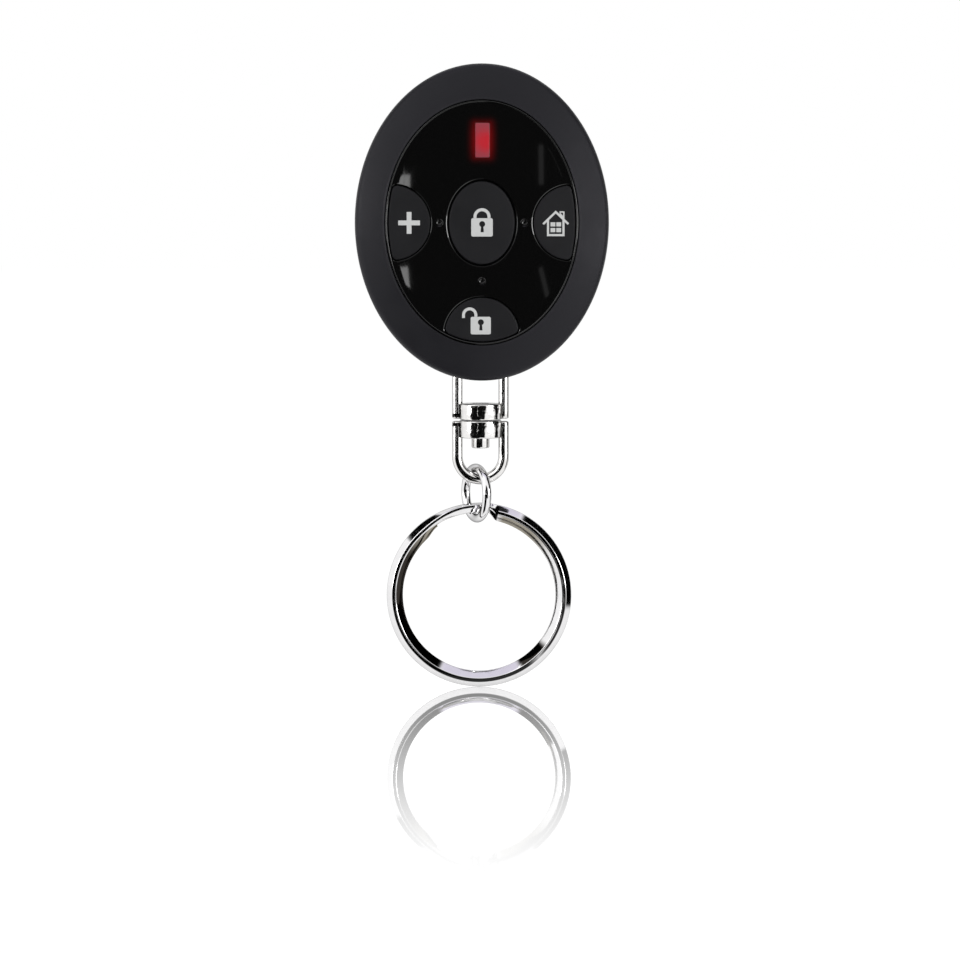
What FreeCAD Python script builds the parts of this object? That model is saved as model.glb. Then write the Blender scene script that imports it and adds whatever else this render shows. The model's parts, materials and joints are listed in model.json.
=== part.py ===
import FreeCAD, Part
import math
import os
from types import SimpleNamespace

import Sketcher
from FreeCAD import Placement, Rotation, Vector

# An alarm key fob on its swivel, jump ring and split key ring.
# Millimetres. X runs to the right, Y away from the viewer, Z up.
# The origin is the centre of the fob's flat back face. The fob reaches towards -Y from it and the
# key ring hangs below. A depth is a distance in front of the back face, so a depth of 5 is Y = -5.

DRIVING_SIZES = {
    # fob outline
    "fob_width": 40.8,
    "fob_height": 50.8,
    "fob_depth": 12.5,
    "parting_depth": 5.5,
    "cover_wall": 1.6,
    "back_wall": 1.5,
    "back_edge_round": 2.6,
    "front_edge_round": 1.4,
    "rim_crown": 44.0,
    # front opening and the glossy panel in it
    "rim_side_width": 4.85,
    "rim_end_width": 5.8,
    "panel_crown": 125.0,
    "panel_gap": 0.12,
    "panel_back_depth": 10.1,
    "panel_lip": 0.9,
    "panel_lip_thickness": 0.6,
    "rim_step": 0.2,
    "bead_width": 0.3,
    "bead_rise": 0.12,
    "seat_depth": 8.8,
    # buttons
    "centre_button_width": 10.5,
    "centre_button_height": 13.2,
    "centre_button_gap": 0.35,
    "button_radius": 5.97,
    "button_corner": 0.7,
    "button_gap": 0.18,
    "button_sink": 0.05,
    "button_edge": 0.25,
    "side_button_inset": 1.35,
    "low_button_inset": 1.7,
    "flange_width": 0.7,
    "flange_thickness": 0.6,
    "flange_gap": 0.1,
    "stem_width": 3.0,
    "button_travel": 0.4,
    # indicator and the small dimples
    "indicator_width": 2.4,
    "indicator_height": 5.6,
    "indicator_inset": 6.4,
    "indicator_corner": 0.2,
    "indicator_gap": 0.05,
    "indicator_flange": 0.5,
    "indicator_back_depth": 8.2,
    "dimple_width": 1.25,
    "dimple_depth": 0.45,
    # circuit board and what it carries
    "board_thickness": 1.0,
    "board_back_depth": 6.0,
    "board_side_gap": 1.0,
    "board_end_gap": 1.8,
    "board_gap": 0.15,
    "switch_width": 4.5,
    "switch_height": 1.5,
    "switch_corner": 0.4,
    "plunger_width": 1.9,
    "plunger_gap": 0.08,
    "plunger_rise": 0.6,
    "plunger_engagement": 0.5,
    "led_width": 1.6,
    "led_length": 3.2,
    "led_height": 1.0,
    "chip_width": 5.0,
    "chip_height": 1.1,
    "chip_x": 8.2,
    "chip_z": 9.0,
    "crystal_width": 5.0,
    "crystal_length": 3.2,
    "crystal_height": 1.2,
    # cell and its contacts
    "cell_width": 20.0,
    "cell_thickness": 3.2,
    "cell_z": 2.0,
    "cell_cap_width": 17.6,
    "cell_cap_step": 0.3,
    "contact_thickness": 0.25,
    "negative_contact_width": 11.0,
    "positive_contact_width": 6.0,
    "positive_contact_gap": 0.35,
    # screws and their posts
    "screw_top_inset": 4.6,
    "screw_side_inset": 9.5,
    "screw_low_inset": 10.8,
    "post_width": 5.2,
    "post_tip_width": 3.8,
    "post_web_width": 1.6,
    "column_width": 6.0,
    "screw_width": 1.6,
    "screw_gap": 0.05,
    "screw_reach": 9.0,
    "screw_head_width": 4.0,
    "screw_head_height": 1.4,
    "screw_recess": 2.0,
    "screw_recess_gap": 0.2,
    "cross_width": 0.6,
    "cross_length": 2.2,
    "cross_depth": 0.7,
    # tongue round the parting line
    "tongue_width": 0.75,
    "tongue_height": 0.9,
    "tongue_gap": 0.06,
    # lanyard pin and its slot
    "pin_width": 2.2,
    "pin_gap": 0.03,
    "pin_inset": 2.2,
    "pin_seat": 1.4,
    "slot_width": 11.6,
    "slot_opening": 3.4,
    "slot_reach": 5.5,
    "slot_wall": 0.8,
    "slot_block_depth": 8.7,
    # swivel
    "wire_width": 1.7,
    "bow_width": 9.2,
    "bow_pin_gap": 0.06,
    "drum_width": 6.9,
    "upper_drum_height": 2.55,
    "lower_drum_height": 2.8,
    "drum_gap": 0.15,
    "drum_round": 0.2,
    "swivel_drop": 8.7,
    "swivel_offset": 0.22,
    "leg_end_rise": 0.3,
    "lower_bow_reach": 10.45,
    "rivet_width": 2.0,
    "rivet_gap": 0.06,
    "rivet_head_width": 2.9,
    "rivet_head_height": 1.65,
    "rivet_head_round": 0.25,
    "rivet_cap_width": 3.4,
    "rivet_cap_height": 0.5,
    "rivet_cap_sink": 0.05,
    # jump ring
    "jump_ring_width": 9.6,
    "jump_ring_wire": 1.45,
    "jump_ring_angle": 65.0,
    "jump_ring_offset": 0.9,
    "jump_ring_gap": 0.25,
    "jump_ring_seam_gap": 0.1,
    # split ring
    "split_ring_width": 30.0,
    "split_ring_offset": 0.45,
    "coil_width": 2.6,
    "coil_thickness": 1.3,
    "coil_ridge": 0.6,
    "coil_edge": 0.25,
    "coil_gap": 0.06,
    "jog_start_angle": 26.0,
    "jog_end_angle": 13.0,
    "jog_wire": 1.6,
    "coil_end_angle": 5.0,
    "split_ring_gap": 0.15,
}


class Size:
    """A number that keeps the formula which gives it from the sheet."""

    def __init__(self, value, formula):
        self.value = float(value)
        self.formula = formula

    def __add__(self, other):
        return Size(self.value + number(other), f"({self.formula} + {text(other)})")

    def __radd__(self, other):
        return Size(number(other) + self.value, f"({text(other)} + {self.formula})")

    def __sub__(self, other):
        return Size(self.value - number(other), f"({self.formula} - {text(other)})")

    def __rsub__(self, other):
        return Size(number(other) - self.value, f"({text(other)} - {self.formula})")

    def __mul__(self, other):
        return Size(self.value * number(other), f"({self.formula} * {text(other)})")

    def __rmul__(self, other):
        return Size(number(other) * self.value, f"({text(other)} * {self.formula})")

    def __truediv__(self, other):
        return Size(self.value / number(other), f"({self.formula} / {text(other)})")

    def __rtruediv__(self, other):
        return Size(number(other) / self.value, f"({text(other)} / {self.formula})")

    def __neg__(self):
        return Size(-self.value, f"(0 - {self.formula})")


def number(size):
    return size.value if isinstance(size, Size) else float(size)


def text(size):
    return size.formula if isinstance(size, Size) else repr(float(size))


def root(size):
    return Size(math.sqrt(number(size)), f"sqrt({text(size)})")


def square(size):
    return size * size


def write_sheet(document):
    """The sheet of driving sizes, and each size under its name for the code below."""
    sheet = document.addObject("Spreadsheet::Sheet", "sizes")
    for row, (name, value) in enumerate(DRIVING_SIZES.items(), start=1):
        sheet.set(f"A{row}", name)
        sheet.set(f"B{row}", str(value))
        sheet.setAlias(f"B{row}", name)
    document.recompute()
    sizes = {name: Size(sheet.get(name), f"sizes.{name}") for name in DRIVING_SIZES}
    return SimpleNamespace(**sizes)


doc = FreeCAD.newDocument("alarm_key_fob")
s = write_sheet(doc)

# Sizes that follow from the driving ones

half_width = s.fob_width / 2
half_height = s.fob_height / 2
opening_x = half_width - s.rim_side_width
opening_z = half_height - s.rim_end_width
# Both crowns bend less along the height, so that the oval opening's edge lies level.
oval_ratio = square(opening_z / opening_x)
panel_crown_z = s.panel_crown * oval_ratio
rim_crown_z = s.rim_crown * oval_ratio
panel_sag = s.panel_crown - root(square(s.panel_crown) - square(opening_x))
rim_sag = s.rim_crown - root(square(s.rim_crown) - square(opening_x))
panel_edge_depth = s.fob_depth - panel_sag
rim_apex = panel_edge_depth + s.rim_step + rim_sag
panel_x = opening_x - s.panel_gap
panel_z = opening_z - s.panel_gap
bead_x = panel_x - s.bead_width
bead_z = panel_z - s.bead_width
cap_x = bead_x - s.button_gap
cap_z = bead_z - s.button_gap
flange_front = s.panel_back_depth - s.flange_gap
flange_back = flange_front - s.flange_thickness
board_front = s.board_back_depth + s.board_thickness
switch_top = board_front + s.switch_height
plunger_top = switch_top + s.plunger_rise
side_button_x = opening_x - s.side_button_inset
low_button_z = opening_z - s.low_button_inset
side_switch_x = (cap_x + side_button_x - s.button_radius) / 2
low_switch_z = (cap_z + low_button_z - s.button_radius) / 2
# A dimple lies halfway between the centre button's hole and that of each outer button.
hole_radius = s.button_radius + s.button_gap
dimple_x = (s.centre_button_width / 2 + s.centre_button_gap + side_button_x - hole_radius) / 2
dimple_z = (s.centre_button_height / 2 + s.centre_button_gap + low_button_z - hole_radius) / 2
indicator_z = opening_z - s.indicator_inset
board_x = half_width - s.cover_wall - s.board_side_gap
board_z = half_height - s.cover_wall - s.board_end_gap
slot_x = s.slot_width / 2
slot_back = s.parting_depth - s.slot_opening / 2
slot_front = s.parting_depth + s.slot_opening / 2
block_x = slot_x + s.cover_wall
slot_top_z = half_height - s.slot_reach
block_top = -(slot_top_z - s.slot_wall)
pin_z = half_height - s.pin_inset
wire_radius = s.wire_width / 2
bow_radius = (s.bow_width - s.wire_width) / 2
drum_radius = s.drum_width / 2
jump_radius = (s.jump_ring_width - s.jump_ring_wire) / 2
jump_wire_radius = s.jump_ring_wire / 2
swivel_z = pin_z + s.swivel_drop
upper_drum_bottom = swivel_z - s.drum_gap / 2
lower_drum_top = swivel_z + s.drum_gap / 2
lower_bow_wire = lower_drum_top + s.lower_bow_reach - wire_radius
jump_top = lower_bow_wire - wire_radius - jump_wire_radius - s.jump_ring_gap
jump_centre = jump_top + jump_radius
jump_low_wire = jump_centre + jump_radius
ring_inner_edge = jump_low_wire - jump_wire_radius - s.split_ring_gap
ring_top = ring_inner_edge - s.jog_wire
ring_centre = ring_top + s.split_ring_width / 2
coil_radius = (s.split_ring_width - s.coil_width) / 2
jog_radius = (s.split_ring_width - s.jog_wire) / 2
SCREW_PLACES = [
    (0, half_height - s.screw_top_inset),
    (half_width - s.screw_side_inset, -(half_height - s.screw_low_inset)),
    (-(half_width - s.screw_side_inset), -(half_height - s.screw_low_inset)),
]
CUT_MARGIN = 1.0
CROWN_SWEEP = 60.0
# The crossing wire's inner sections, as a share of the way from its middle to its ends.
JOG_STEPS = (-0.5, 0.0, 0.5)
FULL_TURN = 360.0


# Helpers for sketches and features


def bind(thing, name, size):
    """Sets a property, tied to the sheet where the size comes from it."""
    if isinstance(size, Size):
        thing.setExpression(name, size.formula)
    else:
        setattr(thing, name, size)


def new_body(label):
    body = doc.addObject("PartDesign::Body", label)
    body.Label = label
    return body


def origin_plane(body, role):
    for feature in body.Origin.OriginFeatures:
        if feature.Role == role:
            return feature
    raise ValueError(f"{body.Label} has no {role}")


def new_sketch(body, name, role="XZ_Plane", lift=0, shift=(0, 0)):
    """A sketch on an origin plane, lifted along the plane's normal. On XZ_Plane the lift is a depth."""
    sketch = body.newObject("Sketcher::SketchObject", name)
    sketch.AttachmentSupport = [(origin_plane(body, role), "")]
    sketch.MapMode = "FlatFace"
    offset = Vector(number(shift[0]), number(shift[1]), number(lift))
    sketch.AttachmentOffset = Placement(offset, Rotation())
    for axis, size in zip("xyz", (*shift, lift)):
        if isinstance(size, Size):
            sketch.setExpression(f"AttachmentOffset.Base.{axis}", size.formula)
    return sketch


def dimension(sketch, kind, references, size):
    """A dimension of a sketch, tied to the sheet."""
    index = sketch.addConstraint(Sketcher.Constraint(kind, *references, number(size)))
    if isinstance(size, Size):
        name = f"size_{index}"
        sketch.renameConstraint(index, name)
        sketch.setExpression(f"Constraints.{name}", size.formula)


def pin_point(sketch, edge, point, x, y):
    """Holds a point of an edge at x, y from the sketch's origin."""
    for size, kind, axis in ((x, "DistanceX", -2), (y, "DistanceY", -1)):
        if isinstance(size, Size) or size != 0:
            dimension(sketch, kind, (-1, 1, edge, point), size)
        else:
            sketch.addConstraint(Sketcher.Constraint("PointOnObject", edge, point, axis))


def circle(sketch, radius, x=0, y=0):
    centre = Vector(number(x), number(y), 0)
    edge = sketch.addGeometry(Part.Circle(centre, Vector(0, 0, 1), number(radius)))
    pin_point(sketch, edge, 3, x, y)
    dimension(sketch, "Radius", (edge,), radius)
    return edge


def oval(sketch, half_x, half_y):
    """An ellipse about the sketch's origin."""
    upright = number(half_y) > number(half_x)
    x_end = Vector(number(half_x), 0, 0)
    y_end = Vector(0, number(half_y), 0)
    ends = (y_end, x_end) if upright else (x_end, y_end)
    halves = (half_y, half_x) if upright else (half_x, half_y)
    edge = sketch.addGeometry(Part.Ellipse(*ends, Vector(0, 0, 0)))
    sketch.exposeInternalGeometry(edge)
    sketch.addConstraint(Sketcher.Constraint("Coincident", edge, 3, -1, 1))
    sketch.addConstraint(Sketcher.Constraint("Vertical" if upright else "Horizontal", edge + 1))
    for axis, half in zip((edge + 1, edge + 2), halves):
        dimension(sketch, "Distance", (axis,), half * 2)
    return edge


def outline(sketch, corners):
    """Straight sides from corner to corner, closed."""
    points = [Vector(number(x), number(y), 0) for x, y in corners]
    sides = []
    for start, end in zip(points, points[1:] + points[:1]):
        sides.append(sketch.addGeometry(Part.LineSegment(start, end)))
    for side, following in zip(sides, sides[1:] + sides[:1]):
        sketch.addConstraint(Sketcher.Constraint("Coincident", side, 2, following, 1))
    for side, (x, y) in zip(sides, corners):
        pin_point(sketch, side, 1, x, y)
    return sides


def half_disc(sketch, radius):
    """Half a disc beside the sketch's upright axis, to be turned into a ball."""
    whole = Part.Circle(Vector(0, 0, 0), Vector(0, 0, 1), number(radius))
    arc = sketch.addGeometry(Part.ArcOfCircle(whole, -math.pi / 2, math.pi / 2))
    top = Vector(0, number(radius), 0)
    axis = sketch.addGeometry(Part.LineSegment(top, -top))
    sketch.addConstraint(Sketcher.Constraint("Coincident", arc, 3, -1, 1))
    sketch.addConstraint(Sketcher.Constraint("Coincident", arc, 2, axis, 1))
    sketch.addConstraint(Sketcher.Constraint("Coincident", axis, 2, arc, 1))
    sketch.addConstraint(Sketcher.Constraint("PointOnObject", axis, 1, -2))
    sketch.addConstraint(Sketcher.Constraint("PointOnObject", axis, 2, -2))
    dimension(sketch, "Radius", (arc,), radius)


def rectangle(sketch, low_x, high_x, low_y, high_y):
    return outline(sketch, [(low_x, low_y), (high_x, low_y), (high_x, high_y), (low_x, high_y)])


def settle(body, feature, grows):
    """Recomputes a new feature, which has to change the volume in the right direction."""
    before = feature.BaseFeature.Shape.Volume if getattr(feature, "BaseFeature", None) else 0.0
    body.Tip = feature
    doc.recompute()
    if "Invalid" in feature.State or "Error" in feature.State or feature.Shape.isNull():
        raise ValueError(f"{body.Label}.{feature.Name} failed: {feature.State}")
    change = feature.Shape.Volume - before
    if grows is not None and change * (1 if grows else -1) <= 0:
        raise ValueError(f"{body.Label}.{feature.Name} changed the volume by {change:.4f}")
    return feature


def pad(body, name, sketch, length, back=False):
    """Adds material from the sketch towards the front, or towards the back."""
    feature = body.newObject("PartDesign::Pad", name)
    feature.Profile = sketch
    bind(feature, "Length", length)
    feature.Reversed = back
    return settle(body, feature, grows=True)


def pocket(body, name, sketch, length, back=False):
    """Cuts from the sketch towards the front, or towards the back."""
    feature = body.newObject("PartDesign::Pocket", name)
    feature.Profile = sketch
    bind(feature, "Length", length)
    feature.Reversed = not back
    return settle(body, feature, grows=False)


def turned(body, name, sketch, axis, angle=FULL_TURN, cut=False, both_ways=False):
    """A revolution about one of the sketch's axes, or a groove."""
    feature = body.newObject("PartDesign::Groove" if cut else "PartDesign::Revolution", name)
    feature.Profile = sketch
    feature.ReferenceAxis = (sketch, [axis])
    bind(feature, "Angle", angle)
    feature.Midplane = both_ways
    return settle(body, feature, grows=not cut)


def edges_where(body, test):
    edges = body.Tip.Shape.Edges
    names = [f"Edge{n}" for n, edge in enumerate(edges, start=1) if test(edge)]
    if not names:
        raise ValueError(f"no edge of {body.Label} passes the test")
    return names


def rounded(body, name, radius, test):
    edges = (body.Tip, edges_where(body, test))
    feature = body.newObject("PartDesign::Fillet", name)
    feature.Base = edges
    bind(feature, "Radius", radius)
    return settle(body, feature, grows=None)


def chamfered(body, name, size, test):
    edges = (body.Tip, edges_where(body, test))
    feature = body.newObject("PartDesign::Chamfer", name)
    feature.Base = edges
    bind(feature, "Size", size)
    return settle(body, feature, grows=None)


def close(a, b, slack=0.02):
    return abs(number(a) - number(b)) < slack


def depth_range(edge):
    return -edge.BoundBox.YMax, -edge.BoundBox.YMin


def at_depth(depth):
    """Edges that lie flat at one depth."""
    return lambda edge: close(depth_range(edge)[0], depth) and close(depth_range(edge)[1], depth)


def runs_in_depth(edge):
    box = edge.BoundBox
    return box.XLength < 0.01 and box.ZLength < 0.01 and box.YLength > 0.05


def on_oval(half_x, half_z):
    """Edges that run in depth and stand on the ellipse."""

    def test(edge):
        box = edge.BoundBox
        x, z = box.Center.x / number(half_x), box.Center.z / number(half_z)
        return runs_in_depth(edge) and abs(x * x + z * z - 1) < 0.02

    return test


def spans_fob_in_front(edge):
    """The edge that goes all round the fob in front of the parting plane."""
    in_front = depth_range(edge)[0] > number(s.parting_depth) + 0.1
    return in_front and close(edge.BoundBox.XLength, s.fob_width, slack=0.5)


def crown(body, name, apex, radius_x, radius_z):
    """Cuts the front to a surface that is domed both ways, highest at the depth apex on the middle."""
    reach = half_width + CUT_MARGIN
    sketch = new_sketch(body, name + "_profile", "XY_Plane", shift=(0, radius_z - apex))
    centre_y = radius_x - radius_z
    outer_y = -radius_z - s.fob_depth / 2
    spread = math.asin(number(reach) / number(radius_x))
    arc_circle = Part.Circle(Vector(0, number(centre_y), 0), Vector(0, 0, 1), number(radius_x))
    arc = sketch.addGeometry(Part.ArcOfCircle(arc_circle, -math.pi / 2 - spread, -math.pi / 2 + spread))
    pin_point(sketch, arc, 3, 0, centre_y)
    dimension(sketch, "Radius", (arc,), radius_x)
    low_y = number(centre_y) - math.sqrt(number(radius_x) ** 2 - number(reach) ** 2)
    corners = [
        Vector(-number(reach), low_y, 0),
        Vector(-number(reach), number(outer_y), 0),
        Vector(number(reach), number(outer_y), 0),
        Vector(number(reach), low_y, 0),
    ]
    left = sketch.addGeometry(Part.LineSegment(corners[0], corners[1]))
    across = sketch.addGeometry(Part.LineSegment(corners[1], corners[2]))
    right = sketch.addGeometry(Part.LineSegment(corners[2], corners[3]))
    for joint in ((arc, 1, left, 1), (left, 2, across, 1), (across, 2, right, 1), (right, 2, arc, 2)):
        sketch.addConstraint(Sketcher.Constraint("Coincident", *joint))
    for side in (left, right):
        sketch.addConstraint(Sketcher.Constraint("Vertical", side))
    pin_point(sketch, across, 1, -reach, outer_y)
    pin_point(sketch, across, 2, reach, outer_y)
    return turned(body, name, sketch, "H_Axis", CROWN_SWEEP, cut=True, both_ways=True)


def wall_point(x):
    """The height of the lower wall's middle line at x, below the centre."""
    across = half_width - s.cover_wall / 2
    up = half_height - s.cover_wall / 2
    return -up * root(1 - square(x / across))


def slot_block(sketch):
    """The solid round the lanyard slot: a bar across the bottom that ends inside the wall."""
    inner = block_x / 2
    corners = [
        (-block_x, block_top),
        (-block_x, wall_point(block_x)),
        (-inner, wall_point(inner)),
        (inner, wall_point(inner)),
        (block_x, wall_point(block_x)),
        (block_x, block_top),
    ]
    outline(sketch, corners)


def pin_hole(body, depth):
    """The blind hole for the lanyard pin, from the parting plane to the given depth."""
    back = number(depth) < number(s.parting_depth)
    length = s.parting_depth - depth if back else depth - s.parting_depth
    sketch = new_sketch(body, "pin_hole_profile", lift=s.parting_depth)
    circle(sketch, s.pin_width / 2 + s.pin_gap, 0, -pin_z)
    pocket(body, "pin_hole", sketch, length, back=back)


# Fob covers


def front_cover():
    body = new_body("front_cover")
    sketch = new_sketch(body, "outline", lift=s.parting_depth)
    oval(sketch, half_width, half_height)
    pad(body, "shell", sketch, s.fob_depth - s.parting_depth)
    crown(body, "rim", rim_apex, s.rim_crown, rim_crown_z)
    rounded(body, "outer_edge", s.front_edge_round, spans_fob_in_front)

    sketch = new_sketch(body, "opening_outline", lift=s.parting_depth)
    oval(sketch, opening_x, opening_z)
    pocket(body, "opening", sketch, s.fob_depth)

    sketch = new_sketch(body, "cavity_outline", lift=s.parting_depth)
    oval(sketch, half_width - s.cover_wall, half_height - s.cover_wall)
    pocket(body, "cavity", sketch, s.seat_depth - s.parting_depth)

    sketch = new_sketch(body, "seat_outline", lift=s.seat_depth)
    lip_reach = s.panel_lip + s.panel_gap / 2
    oval(sketch, panel_x + lip_reach, panel_z + lip_reach)
    pocket(body, "panel_seat", sketch, s.panel_back_depth + s.panel_lip_thickness - s.seat_depth)

    sketch = new_sketch(body, "block_outline", lift=s.parting_depth)
    slot_block(sketch)
    pad(body, "slot_block", sketch, s.slot_block_depth - s.parting_depth)

    sketch = new_sketch(body, "slot_outline", lift=s.parting_depth)
    rectangle(sketch, -slot_x, slot_x, -half_height - CUT_MARGIN, -slot_top_z)
    pocket(body, "slot", sketch, slot_front - s.parting_depth)

    for count, (x, z) in enumerate(SCREW_PLACES):
        sketch = new_sketch(body, f"web_outline_{count}", lift=board_front)
        post_web(sketch, x, z)
        pad(body, f"web_{count}", sketch, s.panel_back_depth - board_front)
    sketch = new_sketch(body, "post_outline", lift=board_front)
    for x, z in SCREW_PLACES:
        circle(sketch, s.post_width / 2, x, z)
    pad(body, "posts", sketch, s.panel_back_depth - board_front)
    sketch = new_sketch(body, "post_tip_outline", lift=s.parting_depth)
    for x, z in SCREW_PLACES:
        circle(sketch, s.post_tip_width / 2, x, z)
    pad(body, "post_tips", sketch, board_front - s.parting_depth)
    sketch = new_sketch(body, "pilot_outline", lift=s.parting_depth)
    for x, z in SCREW_PLACES:
        circle(sketch, s.screw_width / 2 + s.screw_gap, x, z)
    pocket(body, "pilot_holes", sketch, s.screw_reach + s.screw_gap * 2 - s.parting_depth)
    pin_hole(body, slot_front + s.pin_seat)
    return body


def post_web(sketch, x, z):
    """A rib from a screw post out to the middle of the wall, along the line from the centre."""
    across = half_width - s.cover_wall / 2
    up = half_height - s.cover_wall / 2
    share = root(square(x / across) + square(z / up))
    end_x = x / share
    end_z = z / share
    length = root(square(end_x) + square(end_z))
    side_x = end_z / length * s.post_web_width / 2
    side_z = end_x / length * s.post_web_width / 2
    corners = [
        (x - side_x, z + side_z),
        (x + side_x, z - side_z),
        (end_x + side_x, end_z - side_z),
        (end_x - side_x, end_z + side_z),
    ]
    outline(sketch, corners)


def rear_cover():
    body = new_body("rear_cover")
    sketch = new_sketch(body, "outline")
    oval(sketch, half_width, half_height)
    pad(body, "shell", sketch, s.parting_depth)
    rounded(body, "outer_edge", s.back_edge_round, at_depth(0))

    inner = s.cover_wall + s.tongue_width
    sketch = new_sketch(body, "cavity_outline", lift=s.parting_depth)
    oval(sketch, half_width - inner, half_height - inner)
    pocket(body, "cavity", sketch, s.parting_depth - s.back_wall, back=True)

    sketch = new_sketch(body, "tongue_outline", lift=s.parting_depth)
    outer = s.cover_wall + s.tongue_gap
    oval(sketch, half_width - outer, half_height - outer)
    oval(sketch, half_width - inner, half_height - inner)
    pad(body, "tongue", sketch, s.tongue_height)
    sketch = new_sketch(body, "tongue_break_outline", lift=s.parting_depth)
    end_x = block_x + s.board_gap
    rectangle(sketch, -end_x, end_x, -half_height, block_top + s.board_gap)
    pocket(body, "tongue_break", sketch, s.tongue_height + CUT_MARGIN)

    sketch = new_sketch(body, "block_outline", lift=s.parting_depth)
    slot_block(sketch)
    pad(body, "slot_block", sketch, s.parting_depth - s.back_wall / 2, back=True)
    sketch = new_sketch(body, "slot_outline", lift=s.parting_depth)
    rectangle(sketch, -slot_x, slot_x, -half_height - CUT_MARGIN, -slot_top_z)
    pocket(body, "slot", sketch, s.parting_depth - slot_back, back=True)

    sketch = new_sketch(body, "column_outline", lift=s.parting_depth)
    for x, z in SCREW_PLACES:
        circle(sketch, s.column_width / 2, x, z)
    pad(body, "columns", sketch, s.parting_depth - s.back_wall / 2, back=True)
    sketch = new_sketch(body, "screw_hole_outline", lift=s.parting_depth)
    for x, z in SCREW_PLACES:
        circle(sketch, s.screw_width / 2 + s.screw_gap * 3, x, z)
    pocket(body, "screw_holes", sketch, s.parting_depth, back=True)
    sketch = new_sketch(body, "screw_recess_outline")
    for x, z in SCREW_PLACES:
        circle(sketch, s.screw_head_width / 2 + s.screw_recess_gap, x, z)
    pocket(body, "screw_recesses", sketch, s.screw_recess)
    pin_hole(body, slot_back - s.pin_seat)
    return body


def front_panel():
    body = new_body("front_panel")
    sketch = new_sketch(body, "outline", lift=s.panel_back_depth)
    oval(sketch, panel_x, panel_z)
    pad(body, "plate", sketch, s.fob_depth - s.panel_back_depth)
    crown(body, "dome", s.fob_depth, s.panel_crown, panel_crown_z)

    through = s.fob_depth - s.panel_back_depth + CUT_MARGIN
    sketch = new_sketch(body, "button_hole_outline", lift=s.panel_back_depth)
    for x, z in BUTTON_CENTRES:
        circle(sketch, hole_radius, x, z)
    pocket(body, "button_holes", sketch, through)

    sketch = new_sketch(body, "bead_outline", lift=s.panel_back_depth)
    oval(sketch, panel_x, panel_z)
    oval(sketch, bead_x, bead_z)
    pad(body, "bead", sketch, panel_edge_depth + s.bead_rise - s.panel_back_depth)

    sketch = new_sketch(body, "lip_outline", lift=s.panel_back_depth)
    oval(sketch, panel_x + s.panel_lip, panel_z + s.panel_lip)
    oval(sketch, bead_x, bead_z)
    pad(body, "lip", sketch, s.panel_lip_thickness)

    sketch = new_sketch(body, "centre_hole_outline", lift=s.panel_back_depth)
    gap = s.centre_button_gap
    oval(sketch, s.centre_button_width / 2 + gap, s.centre_button_height / 2 + gap)
    pocket(body, "centre_hole", sketch, through)

    sketch = new_sketch(body, "window_outline", lift=s.panel_back_depth)
    window_outline(sketch, s.indicator_gap)
    pocket(body, "window_hole", sketch, through)
    rounded(body, "window_hole_corners", s.indicator_corner, on_window_corner)
    sketch = new_sketch(body, "dimple_outline", lift=s.fob_depth + CUT_MARGIN)
    for x, z in ((-dimple_x, 0), (dimple_x, 0), (0, -dimple_z)):
        circle(sketch, s.dimple_width / 2, x, z)
    pocket(body, "dimples", sketch, s.dimple_depth + CUT_MARGIN, back=True)
    return body


def window_outline(sketch, grow):
    across = s.indicator_width / 2 + grow
    up = s.indicator_height / 2 + grow
    rectangle(sketch, -across, across, indicator_z - up, indicator_z + up)


def on_window_corner(edge):
    centre = edge.BoundBox.Center
    across = s.indicator_width / 2 + s.indicator_gap
    up = s.indicator_height / 2 + s.indicator_gap
    return runs_in_depth(edge) and close(abs(centre.x), across) and close(abs(centre.z - number(indicator_z)), up)


def indicator_window():
    body = new_body("indicator_window")
    sketch = new_sketch(body, "outline", lift=s.indicator_back_depth)
    window_outline(sketch, 0)
    pad(body, "pipe", sketch, s.fob_depth - s.indicator_back_depth)
    rounded(body, "corners", s.indicator_corner, runs_in_depth)
    crown(body, "dome", s.fob_depth - s.button_sink, s.panel_crown, panel_crown_z)
    sketch = new_sketch(body, "flange_outline", lift=flange_back)
    window_outline(sketch, s.indicator_flange)
    pad(body, "flange", sketch, s.panel_back_depth - flange_back)
    return body


# Buttons

BUTTON_CENTRES = [(-side_button_x, 0), (side_button_x, 0), (0, -low_button_z)]


def front_rim(edge):
    """Edges round the front of a button's cap."""
    return depth_range(edge)[0] > number(s.panel_back_depth) and not runs_in_depth(edge)


def centre_button():
    body = new_body("lock_button")
    cap = (s.centre_button_width / 2, s.centre_button_height / 2)
    sketch = new_sketch(body, "cap_outline", lift=flange_front)
    oval(sketch, *cap)
    pad(body, "cap", sketch, s.fob_depth - flange_front)
    crown(body, "dome", s.fob_depth - s.button_sink, s.panel_crown, panel_crown_z)
    rounded(body, "edge", s.button_edge, front_rim)
    sketch = new_sketch(body, "flange_outline", lift=flange_back)
    grow = s.flange_width + s.centre_button_gap
    oval(sketch, cap[0] + grow, cap[1] + grow)
    pad(body, "flange", sketch, s.flange_thickness)
    stem(body, 0, 0)
    return body


def stem(body, x, z):
    sketch = new_sketch(body, "stem_outline", lift=flange_back)
    circle(sketch, s.stem_width / 2, x, z)
    pad(body, "stem", sketch, flange_back - plunger_top, back=True)


def trim(body, name, depth, length, half_x, half_z):
    """Cuts away all that lies outside an ellipse, over a length in depth."""
    sketch = new_sketch(body, name + "_outline", lift=depth)
    circle(sketch, s.fob_height)
    oval(sketch, half_x, half_z)
    pocket(body, name, sketch, length)


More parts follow.
